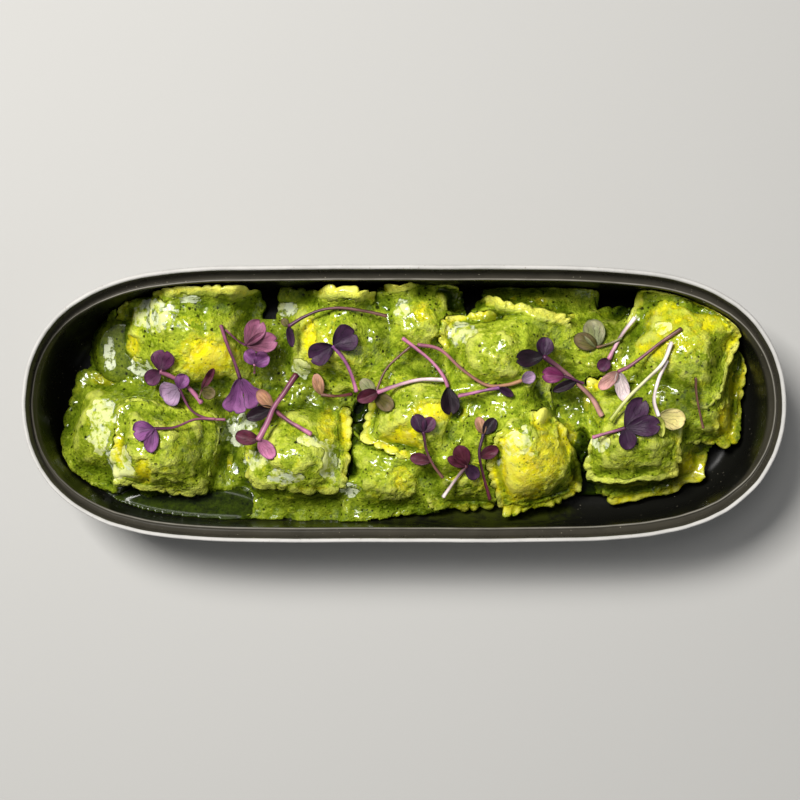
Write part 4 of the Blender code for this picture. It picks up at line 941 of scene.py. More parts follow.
def speckled_stoneware():
    """Pale bare clay outside and on the rim, black speckled glaze inside."""
    bowl = settings().bowl
    made, tree, shader = new_material("speckled_stoneware")
    place = object_place(tree)
    glazed = read_value(tree, "glazed")
    depth = read_value(tree, "depth")
    waver = noise_node(tree, place, 160.0, 3.0)
    edge = math_node(tree, "ADD", glazed, math_node(tree, "MULTIPLY_ADD", waver, 0.5, -0.25))
    inside = step_node(tree, edge, 0.4, 0.62)
    cloud = noise_node(tree, place, 90.0, 5.0, 0.65)
    clay = mix_node(tree, step_node(tree, cloud, 0.3, 0.7), tuple(c * 0.84 for c in bowl.stoneware),
                    tuple(bowl.stoneware))
    grit = fleck_mask(tree, 900.0, 0.16, 0.26)
    clay = mix_node(tree, math_node(tree, "MULTIPLY", grit, 0.55), clay, linear(128, 116, 100))
    speck = fleck_mask(tree, 1150.0, 0.07, 0.20)
    # Thinner glaze and painted sheen: the inside wall near the rim is lighter, in clouds.
    near_rim = math_node(tree, "MULTIPLY", step_node(tree, depth, 1.0, 0.0),
                         math_node(tree, "ADD", math_node(tree, "MULTIPLY", cloud, 0.8), 0.4))
    glaze = mix_node(tree, near_rim, tuple(bowl.glaze), tuple(bowl.glaze_edge_sheen))
    # Worn glaze and painted highlight: the bead under the rim is painted pale, as the thin highlight that it
    # catches.
    bead = read_value(tree, "bead")
    worn_and_highlit = math_node(tree, "MULTIPLY", bead, math_node(tree, "MULTIPLY_ADD", waver, 0.9, 0.2))
    glaze = mix_node(tree, worn_and_highlit, glaze, linear(150, 146, 136))
    glaze = mix_node(tree, math_node(tree, "MULTIPLY", speck, 0.55), glaze, linear(168, 160, 140))
    # Thin sauce smeared on the glaze, and the food's painted reflection on the wall.
    smear = read_value(tree, "smear")
    torn = math_node(tree, "MULTIPLY_ADD", noise_node(tree, place, 260.0, 4.0, 0.6), 2.6, -1.3)
    smeared = step_node(tree, math_node(tree, "ADD", smear, torn), 0.1, 1.0)
    glaze = mix_node(tree, math_node(tree, "MULTIPLY", smeared, smear), glaze, linear(48, 54, 12))
    tree.links.new(mix_node(tree, inside, clay, glaze), shader.inputs["Base Color"])
    gloss = math_node(tree, "MULTIPLY_ADD", inside, -0.34, 0.62)
    uneven = math_node(tree, "MULTIPLY_ADD", cloud, 0.12, -0.06)
    tree.links.new(math_node(tree, "ADD", gloss, uneven), shader.inputs["Roughness"])
    sand = noise_node(tree, place, 2600.0, 3.0, 0.7)
    pits = math_node(tree, "MULTIPLY", sand, math_node(tree, "MULTIPLY_ADD", inside, -0.8, 1.0))
    height = math_node(tree, "ADD", pits, math_node(tree, "MULTIPLY", cloud, 0.8))
    tree.links.new(bump_node(tree, height, 0.35, 0.00025), shader.inputs["Normal"])
    shader.inputs["Specular IOR Level"].default_value = 0.06
    return made


def film_with_painted_sheen(tree, place, wet):
    """Where a pale film with a torn edge lies on the sauce, inside the attribute wet; its pale colour is
    partly a creamy film and partly painted sheen.
    """
    torn = math_node(tree, "MULTIPLY_ADD", noise_node(tree, place, 380.0, 5.0, 0.62), 4.6, -2.45)
    film = step_node(tree, math_node(tree, "ADD", wet, torn), 0.35, 0.95)
    return math_node(tree, "MULTIPLY", film, step_node(tree, wet, 0.05, 0.6))


def paint_shade_in_dips(tree, colour, crest):
    """Painted shade: the colour darkened where the food lies lower than round it, and again inside creases,
    gaps and low places.
    """
    dip = mix_node(tree, 1.0, colour, (0.42, 0.50, 0.26), "MULTIPLY")
    low = math_node(tree, "MULTIPLY", step_node(tree, crest, 0.48, 0.08), 0.9)
    colour = mix_node(tree, low, colour, dip)
    sunk = mix_node(tree, 1.0, colour, (0.13, 0.17, 0.08), "MULTIPLY")
    return mix_node(tree, read_value(tree, "hollow"), colour, sunk)


def sauced_pasta():
    """Egg pasta in pesto: the attribute bare says where the pasta shows."""
    food = settings().food
    made, tree, shader = new_material("sauced_pasta")
    place = object_place(tree)
    bare = read_value(tree, "bare")
    ridge = read_value(tree, "ridge")
    wet = read_value(tree, "wet")
    coarse = math_node(tree, "MULTIPLY_ADD", noise_node(tree, place, 330.0, 4.0, 0.6), 1.5, -0.75)
    fine = math_node(tree, "MULTIPLY_ADD", noise_node(tree, place, 1500.0, 4.0, 0.7), 1.1, -0.55)
    showing = math_node(tree, "ADD", bare, math_node(tree, "ADD", coarse, fine))
    clear = math_node(tree, "MULTIPLY", step_node(tree, showing, 0.30, 0.85), 0.92)
    thin = math_node(tree, "MULTIPLY", step_node(tree, showing, 0.0, 0.5), 0.6)
    pesto = add_node(tree, "ShaderNodeGroup", node_tree=pesto_group()).outputs["Colour"]
    smeared = mix_node(tree, 0.5, tuple(food.pesto_light), tuple(food.pasta))
    pesto = mix_node(tree, thin, pesto, smeared)
    tone = step_node(tree, noise_node(tree, place, 230.0, 4.0, 0.6), 0.35, 0.7)
    pasta = mix_node(tree, math_node(tree, "MULTIPLY", tone, 0.7), tuple(food.pasta), linear(212, 178, 20))
    streak = step_node(tree, noise_node(tree, place, 480.0, 5.0, 0.7), 0.52, 0.66)
    pasta = mix_node(tree, math_node(tree, "MULTIPLY", streak, 0.55), pasta, linear(240, 236, 128))
    pasta = mix_node(tree, ridge, pasta, tuple(food.pasta_pale))
    fleck = fleck_mask(tree, 700.0, 0.30, 0.32)
    pasta = mix_node(tree, math_node(tree, "MULTIPLY", fleck, 0.8), pasta, tuple(food.pesto_deep))
    colour = mix_node(tree, clear, pesto, pasta)
    film = film_with_painted_sheen(tree, place, wet)
    # Painted highlight: food that stands above its surroundings is mixed paler, partly as thinner sauce there.
    crest = read_value(tree, "crest")
    proud_highlight = math_node(tree, "MULTIPLY", step_node(tree, crest, 0.56, 0.95), 0.42)
    colour = paint_shade_in_dips(tree, mix_node(tree, proud_highlight, colour, linear(230, 232, 116)), crest)
    # Painted sheen, partly a creamy film: pale colour in the wet patches.
    colour = mix_node(tree, math_node(tree, "MULTIPLY", film, 0.50), colour, linear(243, 245, 186))
    tree.links.new(colour, shader.inputs["Base Color"])
    rough = math_node(tree, "MULTIPLY_ADD", noise_node(tree, place, 300.0, 3.0), 0.30, 0.34)
    dry = math_node(tree, "MULTIPLY_ADD", film, -0.55, 1.0)
    tree.links.new(math_node(tree, "MULTIPLY", rough, dry), shader.inputs["Roughness"])
    glint = step_node(tree, noise_node(tree, place, 260.0, 4.0, 0.6), 0.36, 0.60)
    tree.links.new(math_node(tree, "MULTIPLY_ADD", glint, 0.7, 0.25), shader.inputs["Coat Weight"])
    set_shader(shader, 0.03, 0.08, (0.8, 0.9, 0.25), 0.0012, coat_roughness=0.14)
    grain = add_node(tree, "ShaderNodeGroup", {"Grain Share": 1.0},
                     node_tree=grain_group()).outputs["Height"]
    covered = math_node(tree, "MULTIPLY", math_node(tree, "MULTIPLY_ADD", clear, -0.55, 1.0),
                        math_node(tree, "MULTIPLY_ADD", step_node(tree, wet, 0.1, 0.6), -0.85, 1.0))
    tree.links.new(bump_node(tree, math_node(tree, "MULTIPLY", grain, covered), 0.9, 0.0008),
                   shader.inputs["Normal"])
    return made


def loose_pesto():
    """Pesto on its own: the pool and what has run between the parcels; the pool and the skirts take darker
    colours as painted shade.
    """
    food = settings().food
    made, tree, shader = new_material("loose_pesto")
    place = object_place(tree)
    deep = read_value(tree, "deep")
    # Painted shade: where the attribute marks the pool and the skirts, the pesto takes the darker pool
    # colours.
    colour = add_node(tree, "ShaderNodeGroup", {
        "Light": tuple(food.shaded_pool_light), "Mid": tuple(food.shaded_pool_mid), "Flecks": 0.3, "Cream": 0.0,
    }, node_tree=pesto_group()).outputs["Colour"]
    bright = add_node(tree, "ShaderNodeGroup", node_tree=pesto_group()).outputs["Colour"]
    colour = mix_node(tree, deep, bright, colour)
    wet = read_value(tree, "wet")
    film = film_with_painted_sheen(tree, place, wet)
    colour = paint_shade_in_dips(tree, colour, read_value(tree, "crest"))
    # Painted sheen, partly a creamy film: pale colour in the wet patches.
    colour = mix_node(tree, math_node(tree, "MULTIPLY", film, 0.58), colour, linear(238, 244, 214))
    tree.links.new(colour, shader.inputs["Base Color"])
    rough = math_node(tree, "MULTIPLY_ADD", noise_node(tree, place, 300.0, 3.0), 0.30, 0.30)
    tree.links.new(rough, shader.inputs["Roughness"])
    tree.links.new(math_node(tree, "MULTIPLY_ADD", deep, -0.50, 0.75), shader.inputs["Coat Weight"])
    set_shader(shader, 0.02, 0.08, (0.8, 0.9, 0.25), 0.0015, coat_roughness=0.14)
    grain = add_node(tree, "ShaderNodeGroup", {"Grain Share": 1.0},
                     node_tree=grain_group()).outputs["Height"]
    still = math_node(tree, "MULTIPLY", math_node(tree, "MULTIPLY_ADD", deep, -0.8, 1.0),
                      math_node(tree, "MULTIPLY_ADD", film, -0.8, 1.0))
    tree.links.new(bump_node(tree, math_node(tree, "MULTIPLY", grain, still), 0.9, 0.0008),
                   shader.inputs["Normal"])
    return made


def cress_group():
    """Mottled tint of cress: the tint attribute with soft light and dark clouds."""
    if "cress_tint" in bpy.data.node_groups:
        return bpy.data.node_groups["cress_tint"]
    group, given, out = start_group(
        "cress_tint", (("Scale", "NodeSocketFloat", 500.0), ("Contrast", "NodeSocketFloat", 0.4)),
        (("Colour", "NodeSocketColor"), ("Height", "NodeSocketFloat")),
    )
    place = object_place(group)
    tint = add_node(group, "ShaderNodeAttribute", attribute_name="tint").outputs["Color"]
    cloud = noise_node(group, place, given.outputs["Scale"], 4.0, 0.6)
    share = math_node(group, "MULTIPLY", step_node(group, cloud, 0.3, 0.7), given.outputs["Contrast"])
    darker = mix_node(group, 1.0, tint, (0.45, 0.42, 0.45), "MULTIPLY")
    group.links.new(mix_node(group, share, tint, darker), out.inputs["Colour"])
    group.links.new(noise_node(group, place, 2200.0, 3.0, 0.6), out.inputs["Height"])
    return group


def cress_leaf():
    """Seed leaf: its own tint, darker along the veins."""
    made, tree, shader = new_material("cress_leaf")
    tinted = add_node(tree, "ShaderNodeGroup", node_tree=cress_group())
    place = object_place(tree)
    along = read_value(tree, "leaf_along")
    fan = read_value(tree, "leaf_fan")
    bent = math_node(tree, "MULTIPLY_ADD", noise_node(tree, place, 420.0, 2.0), 0.7, fan)
    main = math_node(tree, "PINGPONG", math_node(tree, "MULTIPLY", bent, 1.9), 0.5)
    main = math_node(tree, "MULTIPLY", step_node(tree, main, 0.12, 0.0), step_node(tree, along, 1.0, 0.55))
    web = math_node(tree, "MULTIPLY_ADD", along, 9.0, math_node(tree, "MULTIPLY", bent, 3.5))
    web = step_node(tree, math_node(tree, "PINGPONG", web, 0.5), 0.10, 0.0)
    veins = math_node(tree, "MAXIMUM", math_node(tree, "MULTIPLY", main, 0.75),
                      math_node(tree, "MULTIPLY", web, 0.30))
    dark = mix_node(tree, 1.0, tinted.outputs["Colour"], (0.24, 0.18, 0.26), "MULTIPLY")
    tree.links.new(mix_node(tree, veins, tinted.outputs["Colour"], dark), shader.inputs["Base Color"])
    set_shader(shader, 0.22, 0.05, (0.9, 0.35, 0.6), 0.0005, roughness=0.48)
    height = math_node(tree, "MULTIPLY_ADD", veins, -1.2, tinted.outputs["Height"])
    tree.links.new(bump_node(tree, height, 0.5, 0.0002), shader.inputs["Normal"])
    return made


def cress_stem():
    """Smooth stem with its own tint."""
    made, tree, shader = new_material("cress_stem")
    tinted = add_node(tree, "ShaderNodeGroup", {"Scale": 300.0, "Contrast": 0.3},
                      node_tree=cress_group())
    tree.links.new(tinted.outputs["Colour"], shader.inputs["Base Color"])
    set_shader(shader, 0.3, 0.10, (0.9, 0.5, 0.6), 0.0008, roughness=0.36)
    tree.links.new(bump_node(tree, tinted.outputs["Height"], 0.2, 0.0001), shader.inputs["Normal"])
    return made


# The pieces.


class MakeBowl(bpy.types.Operator):
    """The stoneware bowl: its section carried round the outline, with an uneven hand-made rim"""

    bl_idname = "pansotti.make_bowl"
    bl_label = "Bowl"

    def execute(self, context):
        bowl = ring_stack("bowl_stoneware", BOWL_POINTS, len(BOWL_SECTION))
        ring, place = stack_places(bowl.data)
        column = np.round(place * BOWL_POINTS).astype(int) % BOWL_POINTS
        points = np.zeros((len(ring), 3))
        glazed = np.zeros(len(ring))
        depth = np.zeros(len(ring))
        bead = np.zeros(len(ring))
        angle = 2 * math.pi * place
        round_about = np.stack([np.cos(angle), np.sin(angle)], 1) * 4.0
        wobble = settings().bowl.wobble / MM
        for k, (inset, z, share, glaze) in enumerate(BOWL_SECTION):
            here = ring == k
            plan, facing = outline(inset, BOWL_POINTS, INSIDE_SHIFT * share)
            moved = BEAD_AT_ENDS + (BEAD_AT_SIDES - BEAD_AT_ENDS) * facing[:, 1] ** 2
            moved *= smooth(2.4, 3.6, inset) * smooth(36.5, 38.8, z)
            plan -= facing * moved[:, None]
            # The bead attribute marks where the bead is painted pale, partly worn glaze and partly painted
            # highlight; it fades towards the left end.
            bead[here] = math.exp(-(((inset - BEAD_INSET) / 0.28) ** 2)) * (abs(z - BEAD_HEIGHT) < 0.4)
            bead[here] *= (1.0 - 0.8 * smooth(0.1, 0.9, -facing[:, 0]))[column[here]]
            uneven = wobble * (lumps(round_about[here], 5) + 0.5 * lumps(round_about[here] * 3, 6))
            spot = plan[column[here]] - facing[column[here]] * np.abs(uneven)[:, None]
            points[here, :2] = spot
            near_rim = smooth(30.0, 44.0, z)
            points[here, 2] = z - near_rim * np.abs(wobble * lumps(round_about[here] * 1.3, 7))
            glazed[here] = glaze
            # The depth attribute sets where the upper inside wall is lighter, partly thinner glaze and partly
            # painted sheen.
            depth[here] = 1.0 if glaze == 0 else smooth(38.5, 33.0, z)
        points[ring == -1] = (0.0, 0.0, BOWL_SECTION[0][1])
        points[ring == len(BOWL_SECTION)] = (0.0, 0.0, BOWL_SECTION[-1][1])
        glazed[ring == len(BOWL_SECTION)] = 1.0
        depth[ring == len(BOWL_SECTION)] = 1.0
        place_points(bowl.data, points * MM)
        value_attribute(bowl.data, "glazed", glazed)
        value_attribute(bowl.data, "depth", depth)
        value_attribute(bowl.data, "bead", bead)
        value_attribute(bowl.data, "smear", smear_and_reflection_share(points))
        select_only(bowl)
        bpy.ops.object.mode_set(mode="EDIT")
        face_outwards()
        finish_piece(bowl, speckled_stoneware(), "glazed_stoneware", "bowl")
        return {"FINISHED"}


class MakePool(bpy.types.Operator):
    """The pool of pesto on the bowl's floor, with a rounded edge and slow ripples"""

    bl_idname = "pansotti.make_pool"
    bl_label = "Pesto pool"

    def execute(self, context):
        pool = ring_stack("pesto_pool", POOL_POINTS, len(POOL_SECTION))
        ring, place = stack_places(pool.data)
        column = np.round(place * POOL_POINTS).astype(int) % POOL_POINTS
        plan, facing = outline(POOL_INSET, POOL_POINTS, INSIDE_SHIFT)
        around = np.arctan2(plan[:, 1] * BOWL_LENGTH / BOWL_WIDTH, plan[:, 0])
        pulled_in = POOL_SPREAD * (1.0 - np.cos(around - POOL_LEAN)) / 2.0
        for count, height, phase in POOL_WAVES:
            pulled_in += height * (1.0 + np.sin(count * around + phase)) / 2.0
        edge = plan - pulled_in[:, None] * facing
        points = np.zeros((len(ring), 3))
        for k, (share, z) in enumerate(POOL_SECTION):
            here = ring == k
            spot = edge[column[here]]
            inward = facing[column[here]] * ((1 - share) * 45.0)
            points[here, :2] = np.where(share > 0.9, spot - inward, spot * (share, share))
            points[here, 2] = POOL_TOP + z
        points[ring == -1] = (0.0, 0.0, POOL_TOP + POOL_SECTION[0][1])
        points[ring == len(POOL_SECTION)] = (0.0, 0.0, POOL_TOP)
        top = points[:, 2] > POOL_TOP - 0.5
        points[top, 2] += 0.25 * lumps(points[top, :2] / 7.0, 31)
        place_points(pool.data, points * MM)
        # The whole pool takes the darker pool colours: painted shade.
        value_attribute(pool.data, "deep", np.ones(len(ring)))
        finish_piece(pool, shared_material("loose_pesto", loose_pesto), "pesto", "pesto_sauce")
        return {"FINISHED"}


def solid_rings(node, place):
    """Heights that the node's solid has at the rings of its upper face and of its underside."""
    corners = points_of(frame["nodes"][node].data) / MM
    upper, lower = [], []
    for level, (count, share) in enumerate(zip(RING_COUNTS, RING_SHARES)):
        power = CORNER_POWER if share > 0.7 else DOME_POWER
        ring = square_ring(np.arange(count) / count * 4.0, share, power)
        if level == 0:
            ring = ring * place.flutes[:, None]
        spots = place.solid(ring)
        near = ((corners[None, :, :2] - spots[:, None, :]) ** 2).sum(2)
        close = near < np.maximum(near.min(1), 0.01)[:, None] + 0.01
        heights = np.where(close, corners[None, :, 2], np.nan)
        upper.append(np.nanmax(heights, axis=1))
        lower.append(np.nanmin(heights, axis=1))
    centre = ((corners[:, :2] - place.solid(np.zeros((1, 2)))) ** 2).sum(1)
    middle = corners[centre < centre.min() + 0.01, 2]
    return upper, lower, float(middle.max()), float(middle.min())


class Place:
    """Takes points of a parcel's own square, from -1 to 1 both ways, to the bowl's plan."""

    def __init__(self, row):
        _, self.x, self.y, turn, self.length, self.width, self.clearance = row
        self.cosine, self.sine = math.cos(math.radians(turn)), math.sin(math.radians(turn))
        self.flutes = 1.0 + FLUTE_OUT / (self.length / 2) * (1 - 2 * (np.arange(RING_COUNTS[0]) % 2))

    def __call__(self, points):
        u, v = points[:, 0] * self.length / 2, points[:, 1] * self.width / 2
        return np.stack([self.x + u * self.cosine - v * self.sine,
                         self.y + u * self.sine + v * self.cosine], 1)

    def solid(self, points):
        """Where the solid has these points."""
        return keep_inside(self(points), self.clearance)

    def shown(self, points):
        """Where the dressed parcel has them: its thin edge reaches a little nearer to the wall."""
        return keep_inside(self(points), self.clearance - EDGE_REACH, 2 * EDGE_REACH)


def round_the_ring(values, wanted, spread=0.05):
    """Heights at places from 0 to 1 round a ring, softened over its corners."""
    count = len(values)
    places = np.arange(count + 1) / count
    found = np.zeros(len(wanted))
    for shift, weight in ((-1.0, 0.25), (0.0, 0.5), (1.0, 0.25)):
        place = (wanted + shift * spread / 4) % 1.0
        found += weight * np.interp(place, places, np.append(values, values[0]))
    return found


def through_knots(knots, values, first_slope, wanted):
    """Heights at these radii on smooth lines through the values at the knots, without overshoot."""
    step = np.diff(knots)[:, None]
    rise = np.diff(values, axis=0) / step
    slope = np.zeros_like(values)
    slope[0] = first_slope
    slope[-1] = rise[-1]
    product = rise[:-1] * rise[1:]
    total = rise[:-1] + rise[1:]
    slope[1:-1] = np.where(product > 0, 2 * product / np.where(total == 0, 1.0, total), 0.0)
    cell = np.clip(np.searchsorted(knots, wanted, side="right") - 1, 0, len(knots) - 2)
    column = np.arange(len(wanted))
    width = step[cell, 0]
    t = (wanted - knots[cell]) / width
    low, high = values[cell, column], values[cell + 1, column]
    return ((2 * t**3 - 3 * t**2 + 1) * low + (t**3 - 2 * t**2 + t) * width * slope[cell, column]
            + (3 * t**2 - 2 * t**3) * high + (t**3 - t**2) * width * slope[cell + 1, column])


def bare_share(points):
    """How bare of sauce the pasta is at each point, before its ragged edge."""
    found = np.zeros(len(points))
    for *patch, strength in BARE_PATCHES:
        found = np.maximum(found, strength * np.clip(1.6 - 1.1 * away_from(points, *patch), 0.0, 1.0))
    return found


def wet_share(points):
    """How smooth and wet the sauce is at each point, and so how much painted sheen it takes."""
    found = np.zeros(len(points))
    for patch in WET_PATCHES:
        found = np.maximum(found, np.clip(1.7 - 1.2 * away_from(points, *patch), 0.0, 1.0))
    plan = points[:, :2]
    return smooth(0.35, 0.55, found + 0.30 * lumps(plan / 3.2, 53) + 0.2 * lumps(plan / 1.5, 54))


def smear_and_reflection_share(points):
    """How much thin sauce or painted reflection of the food lies on the bowl at each point, below the rim."""
    found = np.zeros(len(points))
    for *patch, strength in SMEARS_AND_REFLECTIONS:
        found = np.maximum(found, strength * smooth(1.3, 0.6, away_from(points, *patch)))
    return found * smooth(38.0, 33.0, points[:, 2])


def edge_share(edges, number, turn):
    """A parcel's strength in a table of edges, at these places from 0 to 4 round it: how bare its edge
    is in FLUTED_EDGES, and how far it has lost its flutes in PLAIN_EDGES."""
    found = np.zeros(len(turn))
    for edge, start, end, strength in edges:
        if edge == number:
            rise = smooth(start - 0.06, start + 0.04, turn) * smooth(end + 0.06, end - 0.04, turn)
            found = np.maximum(found, strength * rise)
    return found


def edge_rise(number, turn, level):
    """How far a parcel's edge is propped up over its own level at these places from 0 to 4 round it."""
    found = np.zeros(len(turn))
    for edge, start, end, reached in PROPPED_EDGES:
        if edge == number:
            near = smooth(start - 0.15, start + 0.15, turn) * smooth(end + 0.15, end - 0.15, turn)
            found = np.maximum(found, near * (reached - level))
    return found


def flap_share(number, turn):
    """How far a parcel's edge stands up at these places from 0 to 4 round it."""
    found = np.zeros(len(turn))
    for edge, middle, half in FLAPS:
        if edge == number:
            found = np.maximum(found, smooth(half, 0.0, np.abs(turn - middle)))
    return found


def drawn_in(number, turn):
    """How far a parcel's corners and sides are drawn in at these places from 0 to 4 round it."""
    found = np.zeros(len(turn))
    for corner, middle, half, pull in DRAWN_IN:
        if corner == number:
            away = np.abs((turn - middle + 2.0) % 4.0 - 2.0)
            found = np.maximum(found, pull * smooth(half, 0.0, away))
    return found


def shape_parcel(obj, row):
    """Moves a blank's points to the parcel's place, with flutes, lumps and a coat of sauce."""
    food = settings().food
    number = row[0]
    place = Place(row)
    node = f"pansotto_{number:02d}"
    upper, lower, middle_top, middle_under = solid_rings(node, place)
    ring, spot = stack_places(obj.data)
    shares = np.array(UNDER_SHARES + (1.0,) + TOP_SHARES)
    last = len(shares)
    radius = np.where((ring < 0) | (ring >= last), 0.0, shares[np.clip(ring, 0, last - 1)])
    top = ring > len(UNDER_SHARES)
    edge = ring == len(UNDER_SHARES)

    # Heights of its upper face and of its underside, from the solid's.
    knots = np.array([0.0, *RING_SHARES[::-1]])
    rows = [np.full(len(spot), middle_top)]
    rows += [round_the_ring(values, spot) for values in (upper[3], upper[2], upper[1], evened(upper[0]))]
    opposite = round_the_ring(upper[3], (spot + 0.5) % 1.0)
    height = through_knots(knots, np.array(rows), (rows[1] - opposite) / (2 * RING_SHARES[3]), radius)
    under_rows = [np.full(len(spot), middle_under)]
    under_rows += [round_the_ring(values, spot) for values in (lower[1], evened(lower[0]))]
    slope = (under_rows[1] - middle_under) / RING_SHARES[1]
    under = through_knots(np.array([0.0, RING_SHARES[1], 1.0]), np.array(under_rows), slope, radius)
    around = spot * 4.0
    lift = edge_rise(number, around, rows[4]) * smooth(0.56, 0.92, radius)
    height, under = height + lift, under + lift

    # Flutes: rounded lobes with narrow notches between them, each a little different.
    turn = around * FLUTES_A_SIDE
    turn = turn + 0.28 * np.sin(2 * math.pi * spot * 7 + number)
    turn = turn + 0.18 * np.sin(2 * math.pi * spot * 11 + 2 * number)
    flat = place.shown(square_ring(around, radius, CORNER_POWER))
    fluted = edge_share(FLUTED_EDGES, number, around)
    shown = 0.15 + 0.85 * np.maximum(0.6 * smooth(0.12, 0.5, bare_share(flat)), fluted)
    plain = edge_share(PLAIN_EDGES, number, around)
    shown *= 1.0 - plain
    flap = flap_share(number, around)
    lobe = np.abs(np.cos(math.pi * turn)) ** 0.8
    each = np.stack([np.round(turn) % (4 * FLUTES_A_SIDE), np.full(len(turn), number * 7.3)], 1)
    vary = 1.0 + 0.6 * lumps(each * 1.37, 41)
    out = (2 * lobe - 1.1) * FLUTE_OUT * vary * (0.45 + 0.55 * shown) * (1.0 - 0.85 * plain)
    out += 1.0 * lumps(flat / 6.5, 51) + 0.5 * lumps(flat / 3.0, 52) + 1.6 * flap
    rim = smooth(0.80, 0.98, radius)
    power = DOME_POWER + (CORNER_POWER - DOME_POWER) * smooth(RING_SHARES[2], RING_SHARES[1], radius)
    local = square_ring(around, radius, power)
    local *= (1.0 + out * rim / (place.length / 2))[:, None]
    local *= (1.0 - drawn_in(number, around) * smooth(0.3, 1.0, radius) / (place.length * 0.66))[:, None]
    plan = place.shown(local)
    crimp = smooth(0.80, 0.86, radius) * smooth(1.0, 0.965, radius)
    relief = (crimp * (0.5 * lobe * vary - 0.15) - 0.3 * smooth(0.2, 0.0, lobe) * rim) * shown
    thickness = np.maximum(height - under, 1.0)
    rounded = np.sqrt(np.clip(1.0 - ((radius - 0.955) / 0.045).clip(0, 1) ** 2, 0.0, 1.0))
    z_top = under + thickness * (0.5 + 0.5 * rounded) + relief
    z_top += FLAP_HEIGHT * flap * smooth(0.68, 0.93, radius)
    z_under = under + thickness * 0.5 * (1 - np.clip((1 - radius) / 0.05, 0, 1))
    z = np.where(top, z_top, np.where(edge, under + thickness * 0.5, z_under))
    points = np.column_stack([plan, z])
    place_points(obj.data, points * MM)

    # Lumps of the filling, then the sauce, thicker where it covers and grainy in patches.
    normal = points_of(obj.data, "normal")
    on_top = np.where(top, 1.0, 0.0)
    bare = bare_share(points) * on_top
    bare = np.maximum(bare, fluted * smooth(0.83, 0.90, radius) * (0.55 + 0.45 * lobe) * on_top)
    bare = np.maximum(bare, smooth(0.2, 0.8, flap) * smooth(0.66, 0.80, radius) * on_top)
    wet = wet_share(points) * (1 - 0.7 * smooth(0.5, 0.9, bare))
    ragged = bare + 0.20 * lumps(points / 2.6, 42) + 0.14 * lumps(points / 1.1, 43)
    cover = 1.0 - smooth(0.42, 0.66, ragged)
    patchy = smooth(-0.35, 0.45, lumps(points / 11.0, 44))
    grains = lumps(points / 1.6, 45) + 0.8 * lumps(points / 0.9, 46)
    coat = food.sauce_coat / MM * (1.1 + 1.3 * lumps(points / 5.5, 47) + 0.8 * lumps(points / 2.7, 48))
    fold = np.maximum(0.0, 1.0 - 2.6 * np.abs(lumps(points / 14.0 + number * 3.7, 55)))
    rise = 1.0 * lumps(points / 10.0, 49) + 0.42 * lumps(points / 5.2, 56) + 0.40 * fold
    rise *= smooth(1.0, 0.8, radius)
    rise *= 1.0 - 0.55 * smooth(0.3, 0.8, bare)
    rise += 0.24 * lumps(points / 2.4, 57) * (1 - 0.5 * wet) * (1 - 0.5 * smooth(0.3, 0.8, bare))
    rise += cover * (coat + food.grain / MM * grains * (0.35 + 0.65 * patchy) * (1 - 0.9 * wet))
    rise *= on_top * smooth(1.0, 0.97, radius)
    points += normal * rise[:, None]
    place_points(obj.data, points * MM)
    value_attribute(obj.data, "wet", wet * on_top)
    value_attribute(obj.data, "bare", np.clip(ragged, 0, 1) * on_top)
    ridge = smooth(0.86, 0.93, radius) * smooth(0.3, 0.9, lobe)
    ridge = np.maximum(ridge, smooth(0.3, 0.9, flap) * smooth(0.7, 0.85, radius))
    value_attribute(obj.data, "ridge", np.clip(0.75 * ridge + 0.25 * lumps(points / 3.0, 50), 0.0, 1.0))


class MakePansotti(bpy.types.Operator):
    """The 24 fluted parcels, each over its own solid, coated with pesto and bare where it has run off"""

    bl_idname = "pansotti.make_pansotti"
    bl_label = "Pansotti"

    def execute(self, context):
        blank = ring_stack("parcel_blank", PARCEL_POINTS, len(UNDER_SHARES) + 1 + len(TOP_SHARES))
        finish = shared_material("sauced_pasta", sauced_pasta)
        for row in PANSOTTI:
            parcel = copy_of(blank, f"parcel_{row[0]:02d}")
            shape_parcel(parcel, row)
            finish_piece(parcel, finish, "pasta_in_pesto", f"pansotto_{row[0]:02d}")
        remove(blank)
        return {"FINISHED"}


def grow(field, reach, step, bulge):
    """The field raised by a round tool of this reach that rolls over it; a negative bulge lowers it."""
    cells = int(reach / step)
    found = field.copy()
    rows, columns = field.shape
    for di in range(-cells, cells + 1):
        for dj in range(-cells, cells + 1):
            away = math.hypot(di, dj) * step
            if away > reach or (di == 0 and dj == 0):
                continue
            drop = reach - math.sqrt(reach**2 - away**2)
            a, b = max(di, 0), min(rows + di, rows)
            c, d = max(dj, 0), min(columns + dj, columns)
            target = (slice(a, b), slice(c, d))
            source = (slice(a - di, b - di), slice(c - dj, d - dj))
            if bulge > 0:
                found[target] = np.maximum(found[target], field[source] - drop)
            else:
                found[target] = np.minimum(found[target], field[source] + drop)
    return found


def blur(field, weight, times):
    """An even blur of the field where the weight isn't 0."""
    total, share = field * weight, weight.astype(float)
    for _ in range(times):
        for axis in (0, 1):
            total, share = evened(total, axis), evened(share, axis)
    return total / np.maximum(share, 1e-6)


def roll_over(heights, ball):
    """The surface that a ball of this radius can touch as it rolls over the food: it bridges creases."""
    return grow(grow(heights.height, ball, heights.STEP, 1), ball, heights.STEP, -1)


